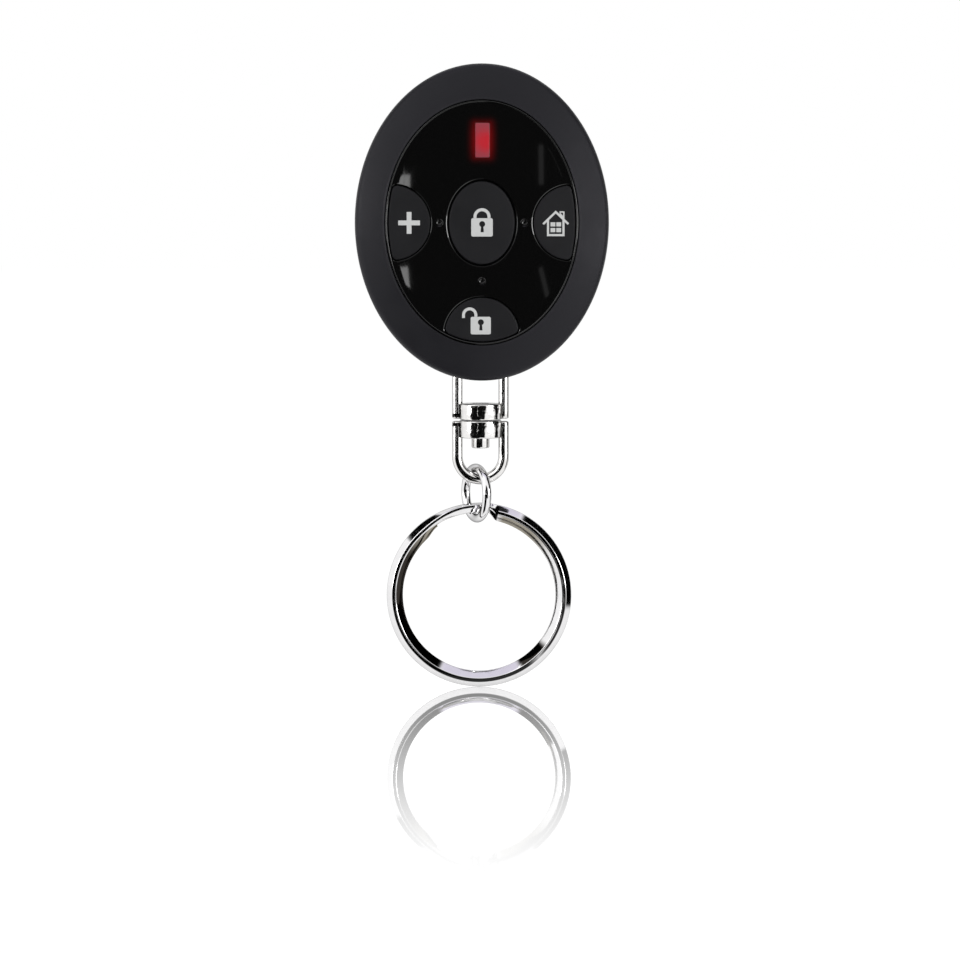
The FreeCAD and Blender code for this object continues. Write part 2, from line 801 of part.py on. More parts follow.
def edge_button(label, centre, switch):
    """A round button that the panel's oval edge cuts off."""
    body = new_body(label)
    sketch = new_sketch(body, "cap_outline", lift=flange_front)
    circle(sketch, s.button_radius, *centre)
    pad(body, "cap", sketch, s.fob_depth - flange_front)
    trim(body, "cap_trim", flange_front, s.fob_depth, cap_x, cap_z)
    rounded(body, "corners", s.button_corner, on_oval(cap_x, cap_z))
    crown(body, "dome", s.fob_depth - s.button_sink, s.panel_crown, panel_crown_z)
    rounded(body, "edge", s.button_edge, front_rim)
    sketch = new_sketch(body, "flange_outline", lift=flange_back)
    circle(sketch, s.button_radius + s.flange_width, *centre)
    pad(body, "flange", sketch, s.flange_thickness)
    grow = s.flange_width
    trim(body, "flange_trim", flange_back, s.flange_thickness, cap_x + grow, cap_z + grow)
    stem(body, *switch)
    return body


# Inside the fob

SWITCH_PLACES = {
    "lock": (0, 0),
    "aux": (-side_switch_x, 0),
    "home": (side_switch_x, 0),
    "unlock": (0, -low_switch_z),
}


def circuit_board():
    body = new_body("circuit_board")
    sketch = new_sketch(body, "outline", lift=s.board_back_depth)
    oval(sketch, board_x, board_z)
    pad(body, "board", sketch, s.board_thickness)
    sketch = new_sketch(body, "cut_outline", lift=s.board_back_depth)
    rectangle(sketch, -half_width, half_width, -half_height, block_top + s.board_gap)
    pocket(body, "slot_clearance", sketch, s.board_thickness)
    for count, (x, z) in enumerate(SCREW_PLACES):
        sketch = new_sketch(body, f"notch_outline_{count}", lift=s.board_back_depth)
        circle(sketch, s.post_tip_width / 2 + s.board_gap, x, z)
        pocket(body, f"notch_{count}", sketch, s.board_thickness)
    return body


def switch_body(label, place):
    body = new_body(label)
    x, z = place
    half = s.switch_width / 2
    sketch = new_sketch(body, "outline", lift=board_front)
    rectangle(sketch, x - half, x + half, z - half, z + half)
    pad(body, "case", sketch, s.switch_height)
    chamfered(body, "corners", s.switch_corner, runs_in_depth)
    sketch = new_sketch(body, "hole_outline", lift=switch_top)
    circle(sketch, s.plunger_width / 2 + s.plunger_gap, x, z)
    hole_depth = s.plunger_engagement + s.button_travel + s.plunger_gap
    pocket(body, "plunger_hole", sketch, hole_depth, back=True)
    return body


def switch_plunger(label, place):
    body = new_body(label)
    sketch = new_sketch(body, "outline", lift=switch_top - s.plunger_engagement)
    circle(sketch, s.plunger_width / 2, *place)
    pad(body, "plunger", sketch, s.plunger_engagement + s.plunger_rise)
    return body


def plate(label, depth, thickness, low_x, high_x, low_z, high_z, back=False):
    """A plain rectangular component that lies flat on the board."""
    body = new_body(label)
    sketch = new_sketch(body, "outline", lift=depth)
    rectangle(sketch, low_x, high_x, low_z, high_z)
    pad(body, "case", sketch, thickness, back=back)
    return body


def indicator_led():
    half_x, half_z = s.led_width / 2, s.led_length / 2
    return plate("indicator_led", board_front, s.led_height, -half_x, half_x, indicator_z - half_z,
                 indicator_z + half_z)


def controller_chip():
    half = s.chip_width / 2
    return plate("controller_chip", board_front, s.chip_height, s.chip_x - half, s.chip_x + half,
                 s.chip_z - half, s.chip_z + half)


def crystal():
    half_x, half_z = s.crystal_length / 2, s.crystal_width / 2
    body = plate("crystal", board_front, s.crystal_height, -s.chip_x - half_x, -s.chip_x + half_x,
                 s.chip_z - half_z, s.chip_z + half_z)
    rounded(body, "corners", s.crystal_length / 4, runs_in_depth)
    return body


def negative_contact():
    body = new_body("negative_contact")
    sketch = new_sketch(body, "outline", lift=s.board_back_depth)
    circle(sketch, s.negative_contact_width / 2, 0, s.cell_z)
    pad(body, "disc", sketch, s.contact_thickness, back=True)
    return body


def coin_cell():
    """The cell's small cap faces the board and its can faces the back."""
    body = new_body("coin_cell")
    front = s.board_back_depth - s.contact_thickness
    sketch = new_sketch(body, "cap_outline", lift=front)
    circle(sketch, s.cell_cap_width / 2, 0, s.cell_z)
    pad(body, "cap", sketch, s.cell_cap_step, back=True)
    sketch = new_sketch(body, "can_outline", lift=front - s.cell_cap_step)
    circle(sketch, s.cell_width / 2, 0, s.cell_z)
    pad(body, "can", sketch, s.cell_thickness - s.cell_cap_step, back=True)
    rounded(body, "can_edge", s.cell_cap_step, at_depth(front - s.cell_thickness))
    return body


def positive_contact():
    """A strap over the back of the cell, with a leg down each side to the board."""
    body = new_body("positive_contact")
    half = s.positive_contact_width / 2
    inner_x = s.cell_width / 2 + s.positive_contact_gap
    outer_x = inner_x + s.contact_thickness
    inner_y = -(s.board_back_depth - s.contact_thickness - s.cell_thickness)
    outer_y = inner_y + s.contact_thickness
    foot_y = -s.board_back_depth
    sketch = new_sketch(body, "strap_profile", "XY_Plane", lift=s.cell_z - half)
    corners = [
        (-outer_x, foot_y),
        (-inner_x, foot_y),
        (-inner_x, inner_y),
        (inner_x, inner_y),
        (inner_x, foot_y),
        (outer_x, foot_y),
        (outer_x, outer_y),
        (-outer_x, outer_y),
    ]
    outline(sketch, corners)
    pad(body, "strap", sketch, s.positive_contact_width)
    return body


def case_screws():
    """One self-tapping screw, then a copy of it in each post."""
    body = new_body("case_screw")
    head_back = s.screw_recess - s.screw_head_height
    sketch = new_sketch(body, "head_outline", lift=head_back)
    circle(sketch, s.screw_head_width / 2)
    pad(body, "head", sketch, s.screw_head_height)
    rounded(body, "head_edge", s.screw_head_height / 2, at_depth(head_back))
    sketch = new_sketch(body, "shank_outline", lift=s.screw_recess)
    circle(sketch, s.screw_width / 2)
    pad(body, "shank", sketch, s.screw_reach - s.screw_recess)
    for name, half_x, half_z in (
        ("cross_bar", s.cross_length / 2, s.cross_width / 2),
        ("cross_post", s.cross_width / 2, s.cross_length / 2),
    ):
        sketch = new_sketch(body, name + "_outline", lift=head_back)
        rectangle(sketch, -half_x, half_x, -half_z, half_z)
        pocket(body, name, sketch, s.cross_depth)
    copies = []
    for x, z in SCREW_PLACES:
        copy = body.Shape.copy()
        copy.translate(Vector(number(x), 0, number(z)))
        copies.append(copy)
    group = doc.addObject("Part::Feature", "case_screws")
    group.Label = "case_screws"
    group.Shape = Part.makeCompound(copies)
    return group


def lanyard_pin():
    body = new_body("lanyard_pin")
    length = s.slot_opening + s.pin_seat * 2 - s.pin_gap * 2
    sketch = new_sketch(body, "outline", lift=slot_back - s.pin_seat + s.pin_gap)
    circle(sketch, s.pin_width / 2, 0, -pin_z)
    pad(body, "pin", sketch, length)
    ends = -(slot_back - s.pin_seat + s.pin_gap), -(slot_front + s.pin_seat - s.pin_gap)
    chamfered(body, "ends", s.pin_width / 8, lambda edge: edge.BoundBox.YLength < 0.01
              and any(close(edge.BoundBox.Center.y, end) for end in ends))
    return body


# Swivel


def bow(label, drum_height, leg_length, bore_gap):
    """A cast bow: a drum about the origin's Z axis, from Z = 0 up, with a U of round wire over it."""
    body = new_body(label)
    sketch = new_sketch(body, "drum_outline", "XY_Plane")
    circle(sketch, drum_radius)
    pad(body, "drum", sketch, drum_height)
    rounded(body, "drum_edges", s.drum_round, lambda edge: edge.BoundBox.ZLength < 0.01)

    foot = s.leg_end_rise + wire_radius
    path = new_sketch(body, "wire_path", "XZ_Plane")
    arc_centre = Vector(0, number(leg_length), 0)
    left = path.addGeometry(Part.LineSegment(Vector(-number(bow_radius), number(foot), 0),
                                             Vector(-number(bow_radius), number(leg_length), 0)))
    arc_circle = Part.Circle(arc_centre, Vector(0, 0, 1), number(bow_radius))
    arc = path.addGeometry(Part.ArcOfCircle(arc_circle, 0, math.pi))
    right = path.addGeometry(Part.LineSegment(Vector(number(bow_radius), number(leg_length), 0),
                                              Vector(number(bow_radius), number(foot), 0)))
    for joint in ((left, 2, arc, 2), (arc, 1, right, 1)):
        path.addConstraint(Sketcher.Constraint("Tangent", *joint))
    for side in (left, right):
        path.addConstraint(Sketcher.Constraint("Vertical", side))
    pin_point(path, arc, 3, 0, leg_length)
    dimension(path, "Radius", (arc,), bow_radius)
    for side, point in ((left, 1), (right, 2)):
        dimension(path, "DistanceY", (-1, 1, side, point), foot)

    section = new_sketch(body, "wire_section", "XY_Plane", lift=foot)
    circle(section, wire_radius, -bow_radius, 0)
    pipe = body.newObject("PartDesign::AdditivePipe", "wire")
    pipe.Profile = section
    pipe.Spine = (path, [])
    settle(body, pipe, grows=True)
    for name, across in (("left_end", -bow_radius), ("right_end", bow_radius)):
        sketch = new_sketch(body, name + "_profile", "XZ_Plane", shift=(across, foot))
        half_disc(sketch, wire_radius)
        turned(body, name, sketch, "V_Axis")

    sketch = new_sketch(body, "bore_outline", "XY_Plane")
    circle(sketch, s.rivet_width / 2 + bore_gap)
    pocket(body, "bore", sketch, drum_height)
    return body


def hang(body, offset, drop, turn=0):
    """Hangs a body made about its own origin at an offset to the left and a drop below the fob's centre."""
    place = Vector(-number(offset), -number(s.parting_depth), -number(drop))
    body.Placement = Placement(place, Rotation(Vector(0, 1, 0), turn))
    body.setExpression("Placement.Base.x", (-offset).formula)
    body.setExpression("Placement.Base.y", (-s.parting_depth).formula)
    body.setExpression("Placement.Base.z", (-drop).formula)


def upper_bow():
    pin_top = pin_z - s.pin_width / 2 - s.bow_pin_gap
    wire_top = pin_top - wire_radius
    body = bow("upper_bow", s.upper_drum_height, upper_drum_bottom - wire_top - bow_radius, 0)
    sketch = new_sketch(body, "cap_seat_outline", "XY_Plane", lift=s.upper_drum_height)
    circle(sketch, s.rivet_cap_width / 2 + s.rivet_gap)
    pocket(body, "cap_seat", sketch, s.rivet_cap_sink + s.rivet_cap_height, back=True)
    hang(body, s.swivel_offset, upper_drum_bottom)
    return body


def lower_bow():
    body = bow("lower_bow", s.lower_drum_height, s.lower_bow_reach - wire_radius - bow_radius, s.rivet_gap)
    hang(body, s.swivel_offset, lower_drum_top, turn=180)
    return body


def swivel_rivet():
    """Turned on the drums' axis: a cap sunk in the upper drum, the shank and a head below the lower one."""
    body = new_body("swivel_rivet")
    cap_top = s.drum_gap / 2 + s.upper_drum_height - s.rivet_cap_sink
    cap_bottom = cap_top - s.rivet_cap_height
    head_top = -(s.drum_gap / 2 + s.lower_drum_height + s.rivet_gap)
    head_bottom = head_top - s.rivet_head_height
    sketch = new_sketch(body, "profile", "XZ_Plane")
    corners = [
        (0, head_bottom),
        (s.rivet_head_width / 2, head_bottom),
        (s.rivet_head_width / 2, head_top),
        (s.rivet_width / 2, head_top),
        (s.rivet_width / 2, cap_bottom),
        (s.rivet_cap_width / 2, cap_bottom),
        (s.rivet_cap_width / 2, cap_top),
        (0, cap_top),
    ]
    outline(sketch, corners)
    turned(body, "rivet", sketch, "V_Axis")
    rounded(body, "head_edge", s.rivet_head_round, lambda edge: edge.BoundBox.ZLength < 0.01
            and close(edge.BoundBox.Center.z, head_bottom))
    rounded(body, "cap_dome", s.rivet_cap_height * 0.8, lambda edge: edge.BoundBox.ZLength < 0.01
            and close(edge.BoundBox.Center.z, cap_top))
    hang(body, s.swivel_offset, swivel_z)
    return body


# Rings


def jump_ring():
    """A ring of round wire, open by a hair at its seam, turned about the upright axis."""
    body = new_body("jump_ring")
    sketch = new_sketch(body, "wire_section", "XZ_Plane")
    circle(sketch, jump_wire_radius, -jump_radius, 0)
    seam_angle = s.jump_ring_seam_gap / jump_radius * (180 / math.pi)
    turned(body, "wire", sketch, "V_Axis", FULL_TURN - seam_angle)
    body.Placement = Placement(
        Vector(-number(s.jump_ring_offset), -number(s.parting_depth), -number(jump_centre)),
        Rotation(Vector(0, 0, 1), -number(s.jump_ring_angle)) * Rotation(Vector(1, 0, 0), 90),
    )
    body.setExpression("Placement.Base.x", (-s.jump_ring_offset).formula)
    body.setExpression("Placement.Base.y", (-s.parting_depth).formula)
    body.setExpression("Placement.Base.z", (-jump_centre).formula)
    return body


def coil_section(side):
    """A coil's bevelled section as radius and depth: flat towards the other coil, ridged on the side away."""
    outer = coil_radius + s.coil_width / 2
    inner = coil_radius - s.coil_width / 2
    high = coil_radius + s.coil_ridge / 2
    low = coil_radius - s.coil_ridge / 2
    flat = s.coil_gap / 2
    shoulder = s.coil_gap / 2 + s.coil_edge
    ridge = s.coil_gap / 2 + s.coil_thickness
    if side < 0:
        return [(inner, -flat), (low, -flat), (high, -flat), (outer, -flat),
                (outer, -shoulder), (high, -ridge), (low, -ridge), (inner, -shoulder)]
    return [(inner, shoulder), (low, ridge), (high, ridge), (outer, shoulder),
            (outer, flat), (high, flat), (low, flat), (inner, flat)]


def jog_section(depth_centre):
    """The narrow eight-sided section of the wire where it crosses from one coil to the other."""
    half = s.jog_wire / 2
    flat = half * math.tan(math.pi / 8)
    corners = [(-half, flat), (-flat, half), (flat, half), (half, flat),
               (half, -flat), (flat, -half), (-flat, -half), (-half, -flat)]
    return [(jog_radius + across, depth_centre + deep) for across, deep in corners]


def clock_sketch(body, name, degrees):
    """A sketch in the plane through the ring's axis at an angle clockwise from the top."""
    sketch = new_sketch(body, name, "XY_Plane")
    turn = degrees - 90
    sketch.AttachmentOffset = Placement(Vector(), Rotation(Vector(0, 1, 0), number(turn)))
    sketch.setExpression("AttachmentOffset.Rotation.Angle", text(turn))
    return sketch


def split_ring():
    """Two flat coils of one wire, which crosses from the front coil to the back one at the top."""
    body = new_body("split_ring")
    turn = FULL_TURN - s.jog_start_angle - s.jog_end_angle
    front = clock_sketch(body, "front_section", s.jog_end_angle)
    outline(front, coil_section(-1))
    turned(body, "front_coil", front, "V_Axis", turn)

    middle = (s.jog_end_angle - s.jog_start_angle) / 2
    reach = (s.jog_end_angle + s.jog_start_angle) / 2
    shift = (s.coil_thickness + s.coil_gap) / 2
    sections = []
    for step in JOG_STEPS:
        sketch = clock_sketch(body, f"jog_section_{len(sections)}", middle + reach * step)
        outline(sketch, jog_section(shift * step))
        sections.append(sketch)
    last = clock_sketch(body, "jog_last_section", s.jog_end_angle)
    outline(last, coil_section(1))
    first = clock_sketch(body, "jog_first_section", -s.jog_start_angle)
    outline(first, coil_section(-1))
    doc.recompute()
    loft = body.newObject("PartDesign::AdditiveLoft", "jog")
    loft.Profile = first
    loft.Sections = sections + [last]
    settle(body, loft, grows=True)

    back = clock_sketch(body, "back_section", s.jog_end_angle)
    outline(back, coil_section(1))
    turned(body, "back_coil", back, "V_Axis", turn - s.coil_end_angle)
    hang(body, s.split_ring_offset, ring_centre)
    return body


def finish(pieces):
    os.makedirs("parts", exist_ok=True)
    doc.recompute()
    for thing in doc.Objects:
        if "Invalid" in thing.State or "Error" in thing.State:
            raise ValueError(f"{thing.Label} is {thing.State}")
    for piece in pieces:
        shape = piece.Shape
        if shape.isNull() or not shape.isValid():
            raise ValueError(f"{piece.Label} has no valid shape")
        solids = len(shape.Solids)
        print(f"{piece.Label}: {solids} solid(s), {shape.Volume:.2f} mm3")
        shape.exportStep(f"parts/{piece.Label}.step")


finish([
    front_cover(),
    rear_cover(),
    front_panel(),
    indicator_window(),
    centre_button(),
    edge_button("aux_button", BUTTON_CENTRES[0], SWITCH_PLACES["aux"]),
    edge_button("home_button", BUTTON_CENTRES[1], SWITCH_PLACES["home"]),
    edge_button("unlock_button", BUTTON_CENTRES[2], SWITCH_PLACES["unlock"]),
    *(switch_body(f"{name}_switch", place) for name, place in SWITCH_PLACES.items()),
    *(switch_plunger(f"{name}_plunger", place) for name, place in SWITCH_PLACES.items()),
    circuit_board(),
    indicator_led(),
    controller_chip(),
    crystal(),
    negative_contact(),
    coin_cell(),
    positive_contact(),
    case_screws(),
    lanyard_pin(),
    upper_bow(),
    lower_bow(),
    swivel_rivet(),
    jump_ring(),
    split_ring(),
])
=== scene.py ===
# %% [markdown]
# # An alarm remote on a swivel and a key ring
#
# The object is an oval alarm remote. Four push buttons lie nearly flush in a glossy black panel, a red
# lamp sits above them, and a two-drum swivel, a small jump ring and a split key ring hang from its foot.
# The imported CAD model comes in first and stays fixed. Every piece below is made around it, in metres:
# X goes to the right, Y goes away from the viewer, and Z goes up.

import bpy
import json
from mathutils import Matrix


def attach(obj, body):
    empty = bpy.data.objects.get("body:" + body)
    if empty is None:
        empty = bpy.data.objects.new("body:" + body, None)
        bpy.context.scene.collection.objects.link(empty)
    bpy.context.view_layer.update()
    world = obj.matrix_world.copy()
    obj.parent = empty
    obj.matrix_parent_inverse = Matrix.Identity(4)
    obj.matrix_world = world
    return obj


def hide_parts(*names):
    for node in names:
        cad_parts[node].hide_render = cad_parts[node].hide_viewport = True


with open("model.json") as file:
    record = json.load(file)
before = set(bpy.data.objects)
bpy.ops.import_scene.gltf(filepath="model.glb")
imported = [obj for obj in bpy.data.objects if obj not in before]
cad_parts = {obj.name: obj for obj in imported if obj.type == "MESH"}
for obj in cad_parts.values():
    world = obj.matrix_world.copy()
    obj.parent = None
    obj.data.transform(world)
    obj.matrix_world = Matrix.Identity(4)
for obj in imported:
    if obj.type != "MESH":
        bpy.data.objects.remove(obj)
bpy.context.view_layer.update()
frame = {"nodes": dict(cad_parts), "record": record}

# %% Imports and units
import json
import math

import bmesh
import bpy
from mathutils import Vector

MM = 0.001
WHITE, BLACK = (1, 1, 1), (0, 0, 0)


def at(x, depth, z):
    """A point from millimetres: across, in front of the plane of the fob's back, and up."""
    return Vector((x, -depth, z)) * MM


def put_in_scene(name, data):
    """A new object with the given data, in the scene's own collection."""
    thing = bpy.data.objects.new(name, data)
    bpy.context.scene.collection.objects.link(thing)
    return thing


# %% [markdown]
# ## The camera
#
# The photograph looks at the fob from the front and a little above. A long lens flattens the
# perspective, so the oval stays an oval. The height and distance were worked out from how far apart
# the parts of the chain look, and the aim puts the object where the photograph has it in the frame.

# %% Camera
IMAGE_WIDTH = 960
FOCAL_PIXELS = 3699
SENSOR_WIDTH = 36
CAMERA_RISE = math.radians(4.5)
CAMERA_DISTANCE = 600 * MM
AIM = at(-0.3, 5.5, -41.13)

lens = bpy.data.cameras.new("camera")
lens.sensor_fit = "HORIZONTAL"
lens.sensor_width = SENSOR_WIDTH
lens.lens = FOCAL_PIXELS * SENSOR_WIDTH / IMAGE_WIDTH
lens.clip_start = 10 * MM
camera = put_in_scene("camera", lens)
to_camera = Vector((0, -math.cos(CAMERA_RISE), math.sin(CAMERA_RISE)))
camera.location = AIM + to_camera * CAMERA_DISTANCE
camera.rotation_euler = (math.pi / 2 - CAMERA_RISE, 0, 0)
bpy.context.scene.camera = camera
bpy.context.scene.view_settings.view_transform = "Standard"
print(f"lens {lens.lens:.1f} mm at {CAMERA_DISTANCE:.2f} m")

# %% [markdown]
# ## Node helpers
#
# Every finish below is a small tree of nodes. These helpers make a node, set its sockets and join it
# to others in one line, so that a material reads like a recipe. A number that is the same all over a
# surface is set on the shader's own socket.

# %% Node helpers


def add_node(tree, kind, **settings):
    """A shader node. A setting with a capital is one of its sockets, and any other a property."""
    node = tree.nodes.new("ShaderNode" + kind)
    for name, value in settings.items():
        if name[0].isupper():
            feed(tree, node.inputs[name.replace("_", " ")], value)
        else:
            setattr(node, name, value)
    return node


def feed(tree, socket, value):
    """Joins an output to a socket, or sets the socket to a plain value."""
    if isinstance(value, bpy.types.NodeSocket):
        tree.links.new(value, socket)
    elif hasattr(value, "__len__") and len(value) == 3 and len(socket.default_value) == 4:
        socket.default_value = (*value, 1)
    else:
        socket.default_value = value


def calculate(tree, operation, *values):
    """The result of a Math node."""
    node = add_node(tree, "Math", operation=operation)
    for socket, value in zip(node.inputs, values):
        feed(tree, socket, value)
    return node.outputs[0]


def times(tree, first, second):
    return calculate(tree, "MULTIPLY", first, second)


def larger(tree, first, second):
    return calculate(tree, "MAXIMUM", first, second)


def ramp(tree, value, low, high, start=0.0, end=1.0):
    """Start below low, end above high, and a smooth change between them."""
    node = add_node(tree, "MapRange", interpolation_type="SMOOTHSTEP")
    for socket, number in zip(node.inputs, (value, low, high, start, end)):
        feed(tree, socket, number)
    return node.outputs["Result"]


def between(tree, value, low, high, low_edge, high_edge=None):
    """1 from low to high and 0 outside, with soft edges of the given half widths."""
    high_edge = high_edge or low_edge
    above_low = ramp(tree, value, low - low_edge, low + low_edge)
    return times(tree, above_low, ramp(tree, value, high - high_edge, high + high_edge, 1, 0))


def angle_of(tree, first, second):
    """The angle of a point given by two lengths, in degrees."""
    return times(tree, calculate(tree, "ARCTAN2", first, second), 180 / math.pi)


def length_of(tree, first, second):
    """The length of a slanted line from its two straight parts."""
    squares = [times(tree, value, value) for value in (first, second)]
    return calculate(tree, "SQRT", calculate(tree, "ADD", *squares))


def axes(tree, vector):
    """The X, Y and Z of a vector, as three sockets."""
    return list(add_node(tree, "SeparateXYZ", Vector=vector).outputs)


def object_place(tree):
    """Where a point lies in its object's own frame, so that a pattern moves with the piece."""
    return add_node(tree, "TexCoord").outputs["Object"]


def noise(tree, density, detail, place=None):
    """Smooth random patches over the surface, from 0 to 1."""
    place = place or object_place(tree)
    return add_node(tree, "TexNoise", Vector=place, Scale=density, Detail=detail).outputs[0]


def blend_colours(tree, share, first, second):
    node = add_node(tree, "Mix", data_type="RGBA")
    feed(tree, node.inputs[0], share)
    feed(tree, node.inputs[6], first)
    feed(tree, node.inputs[7], second)
    return node.outputs[2]


def mix_shaders(tree, share, first, second):
    """The second shader by the given share, and the first one for the rest."""
    node = add_node(tree, "MixShader", Fac=share)
    tree.links.new(first.outputs[0], node.inputs[1])
    tree.links.new(second.outputs[0], node.inputs[2])
    return node


def empty_tree(owner):
    """The node tree of a world or a material, with nothing in it yet."""
    owner.use_nodes = True
    owner.node_tree.nodes.clear()
    return owner.node_tree


def send_out(tree, shader, kind="OutputMaterial"):
    """Makes a shader the result of its tree."""
    tree.links.new(shader.outputs[0], add_node(tree, kind).inputs["Surface"])


def linear(hex_colour):
    """A colour written as on a screen, turned into the linear values that the nodes use."""
    channels = [int(hex_colour[i:i + 2], 16) / 255 for i in (0, 2, 4)]
    return tuple(c / 12.92 if c <= 0.04045 else ((c + 0.055) / 1.055) ** 2.4 for c in channels)


# %% [markdown]
# ## Light
#
# The fob stood in a white tent that was open towards the lens. Polished nickel shows such a tent as
# white with a few crisp black bands, and the glossy black panel shows the dark opening. So the world
# is white to the camera, plain and even for what it lights, and a tent with dark openings only for
# mirror rays. The openings are placed by direction: by their clock angle around the line of sight and
# by how far they turn towards the viewer.

# %% World
LIGHT_LEVEL = 0.82
TENT_LEVEL = 1.3
TENT_TOP = (0.72, 0.69, 0.8)
# From and to clock angle, and the softness of each edge, all in degrees.
DARK_CLOCK_BANDS = [(32, 100, 1.5, 5), (-56, -34, 1.5, 1.5)]
TOP_CLOCK_BAND = (-33, 31, 4)
# How far the bands lie from the line of sight, and where the round opening around that line ends.
SIDE_BAND = (69, 119, 3)
ROUND_OPENING = (26, 34)
# The opening in front, left and right of the line of sight, and how far up it reaches.
FRONT_HEADINGS = (-54, 25)
FRONT_TOP = (7, 15)
BAND_EDGE = 1.5


def tent_cloth(tree):
    """How bright the tent is in each direction, and a mask of its shaded top."""
    across, back, up = axes(tree, add_node(tree, "TexCoord").outputs["Generated"])
    front = times(tree, back, -1)
    clock = angle_of(tree, across, up)
    from_front = angle_of(tree, length_of(tree, across, up), front)
    side = between(tree, from_front, *SIDE_BAND)
    dark = ramp(tree, from_front, *ROUND_OPENING, 1, 0)
    for band in DARK_CLOCK_BANDS:
        dark = larger(tree, dark, times(tree, side, between(tree, clock, *band)))
    elevation = angle_of(tree, up, length_of(tree, across, back))
    ahead = between(tree, angle_of(tree, across, front), *FRONT_HEADINGS, BAND_EDGE)
    dark = larger(tree, dark, times(tree, ahead, ramp(tree, elevation, *FRONT_TOP, 1, 0)))
    brightness = times(tree, calculate(tree, "SUBTRACT", 1, dark), TENT_LEVEL)
    return brightness, times(tree, side, between(tree, clock, *TOP_CLOCK_BAND))


world = bpy.data.worlds.new("tent")
bpy.context.scene.world = world
tree = empty_tree(world)
rays = add_node(tree, "LightPath").outputs
brightness, top = tent_cloth(tree)
tent = add_node(tree, "Background", Color=blend_colours(tree, top, WHITE, TENT_TOP), Strength=brightness)
even = add_node(tree, "Background", Color=WHITE, Strength=LIGHT_LEVEL)
white = add_node(tree, "Background", Color=WHITE, Strength=1)
seen = larger(tree, rays["Is Camera Ray"], rays["Is Transmission Ray"])
unseen = mix_shaders(tree, rays["Is Glossy Ray"], even, tent)
send_out(tree, mix_shaders(tree, seen, unseen, white), "OutputWorld")
print("world: white, with", len(DARK_CLOCK_BANDS) + 2, "dark openings for mirror rays")

# %% [markdown]
# Four soft lamps add a gentle direction to the even light. The small bright marks on the glossy panel
# are something else: they are mirror images of windows. A lamp shows at a chosen point of the panel
# when it stands where a ray from the camera bounces to, so the next cell works that direction out
# from the panel's own curve.

# %% The panel's curve
HALF_WIDTH, HALF_HEIGHT = 20.4, 25.4
OPENING = (15.55, 19.6)
PANEL_APEX, PANEL_CURVE = 12.5, (125.0, 198.6)
RIM_APEX, RIM_CURVE = 14.568, (44.0, 69.9)


def crown_depth(x, z, apex, curve):
    """The depth at a point of a front that is domed both ways."""
    rise = curve[1] - curve[0] + math.sqrt(curve[0] ** 2 - x * x)
    return apex - curve[1] + math.sqrt(rise * rise - z * z)


def panel_depth(x, z):
    return crown_depth(x, z, PANEL_APEX, PANEL_CURVE)


def rim_depth(x, z):
    return crown_depth(x, z, RIM_APEX, RIM_CURVE)


def bounce_from_panel(x, z):
    """A point of the panel, and the direction in which it mirrors the camera's ray."""
    step = 0.1
    point = at(x, panel_depth(x, z), z)
    along = at(x + step, panel_depth(x + step, z), z) - point
    up = at(x, panel_depth(x, z + step), z + step) - point
    normal = along.cross(up).normalized()
    return point, (point - camera.location).normalized().reflect(normal)


print(f"edge depths: panel {panel_depth(OPENING[0], 0):.3f} mm, rim {rim_depth(OPENING[0], 0):.3f} mm")

# %% Lamps


def add_lamp(name, location, size, power, target=(0, 0, 0)):
    lamp = bpy.data.lights.new(name, "AREA")
    lamp.shape = "RECTANGLE"
    lamp.size, lamp.size_y = size
    lamp.energy = power
    holder = put_in_scene(name, lamp)
    holder.location = location
    holder.rotation_euler = (Vector(target) - holder.location).to_track_quat("-Z", "Y").to_euler()
    return holder


# Where each soft lamp stands, its width and height, all in metres, and its power in watts.
SOFT_LAMPS = {
    "key_lamp": ((-0.55, -0.45, 0.55), (0.5, 0.5), 0.9),
    "right_fill": ((0.55, -0.36, -0.06), (0.34, 0.42), 3.4),
    "left_strip": ((-0.5, -0.34, 0.12), (0.06, 0.36), 0.2),
    "left_fill": ((-0.6, -0.3, -0.02), (0.2, 0.3), 1.4),
}
for name, settings in SOFT_LAMPS.items():
    add_lamp(name, *settings)

PANEL_SHINE = 0.046
# Where each mirrored window shows on the panel, its width and height there in mm, how far its top
# leans to the left in degrees, how bright it looks there, and how far away its lamp stands in
# metres. The low ones stand nearer, so that they are still above the floor.
MIRRORED_WINDOWS = {
    "window_upper_left": (-12.6, 6.6, 2.6, 2.6, 0, 0.17, 0.9),
    "window_lower_left": (-12.6, -8.9, 2.3, 5.2, 6, 0.17, 0.33),
    "window_upper_right": (9.4, 9.2, 0.9, 8.0, 0, 0.014, 0.9),
    "window_frame_upper_right": (12.0, 9.8, 0.25, 7.4, 31, 0.012, 0.9),
    "window_lower_right": (9.9, -9.5, 0.9, 7.2, 20, 0.014, 0.33),
}
for name, (x, z, wide, high, lean, brightness, distance) in MIRRORED_WINDOWS.items():
    point, bounce = bounce_from_panel(x, z)
    width = 2 * wide / PANEL_CURVE[0] * distance
    height = 2 * high / PANEL_CURVE[1] * distance
    power = brightness / PANEL_SHINE * math.pi * width * height
    window = add_lamp(name, point + bounce * distance, (width, height), power, point)
    window.rotation_euler.rotate_axis("Z", math.radians(lean))

# %% [markdown]
# ## The floor
#
# The key ring stands on a white floor with a shine. Its mirror image is clear where they touch and
# fades away towards the viewer. The floor is mostly its own white, so that it melts into the
# background, partly cloth-like so that it keeps a soft shadow, and shiny by an amount that falls with
# the distance in front of the object.

# %% Floor
FLOOR_HEIGHT = -75.46 * MM
FLOOR_REACH = 3.0
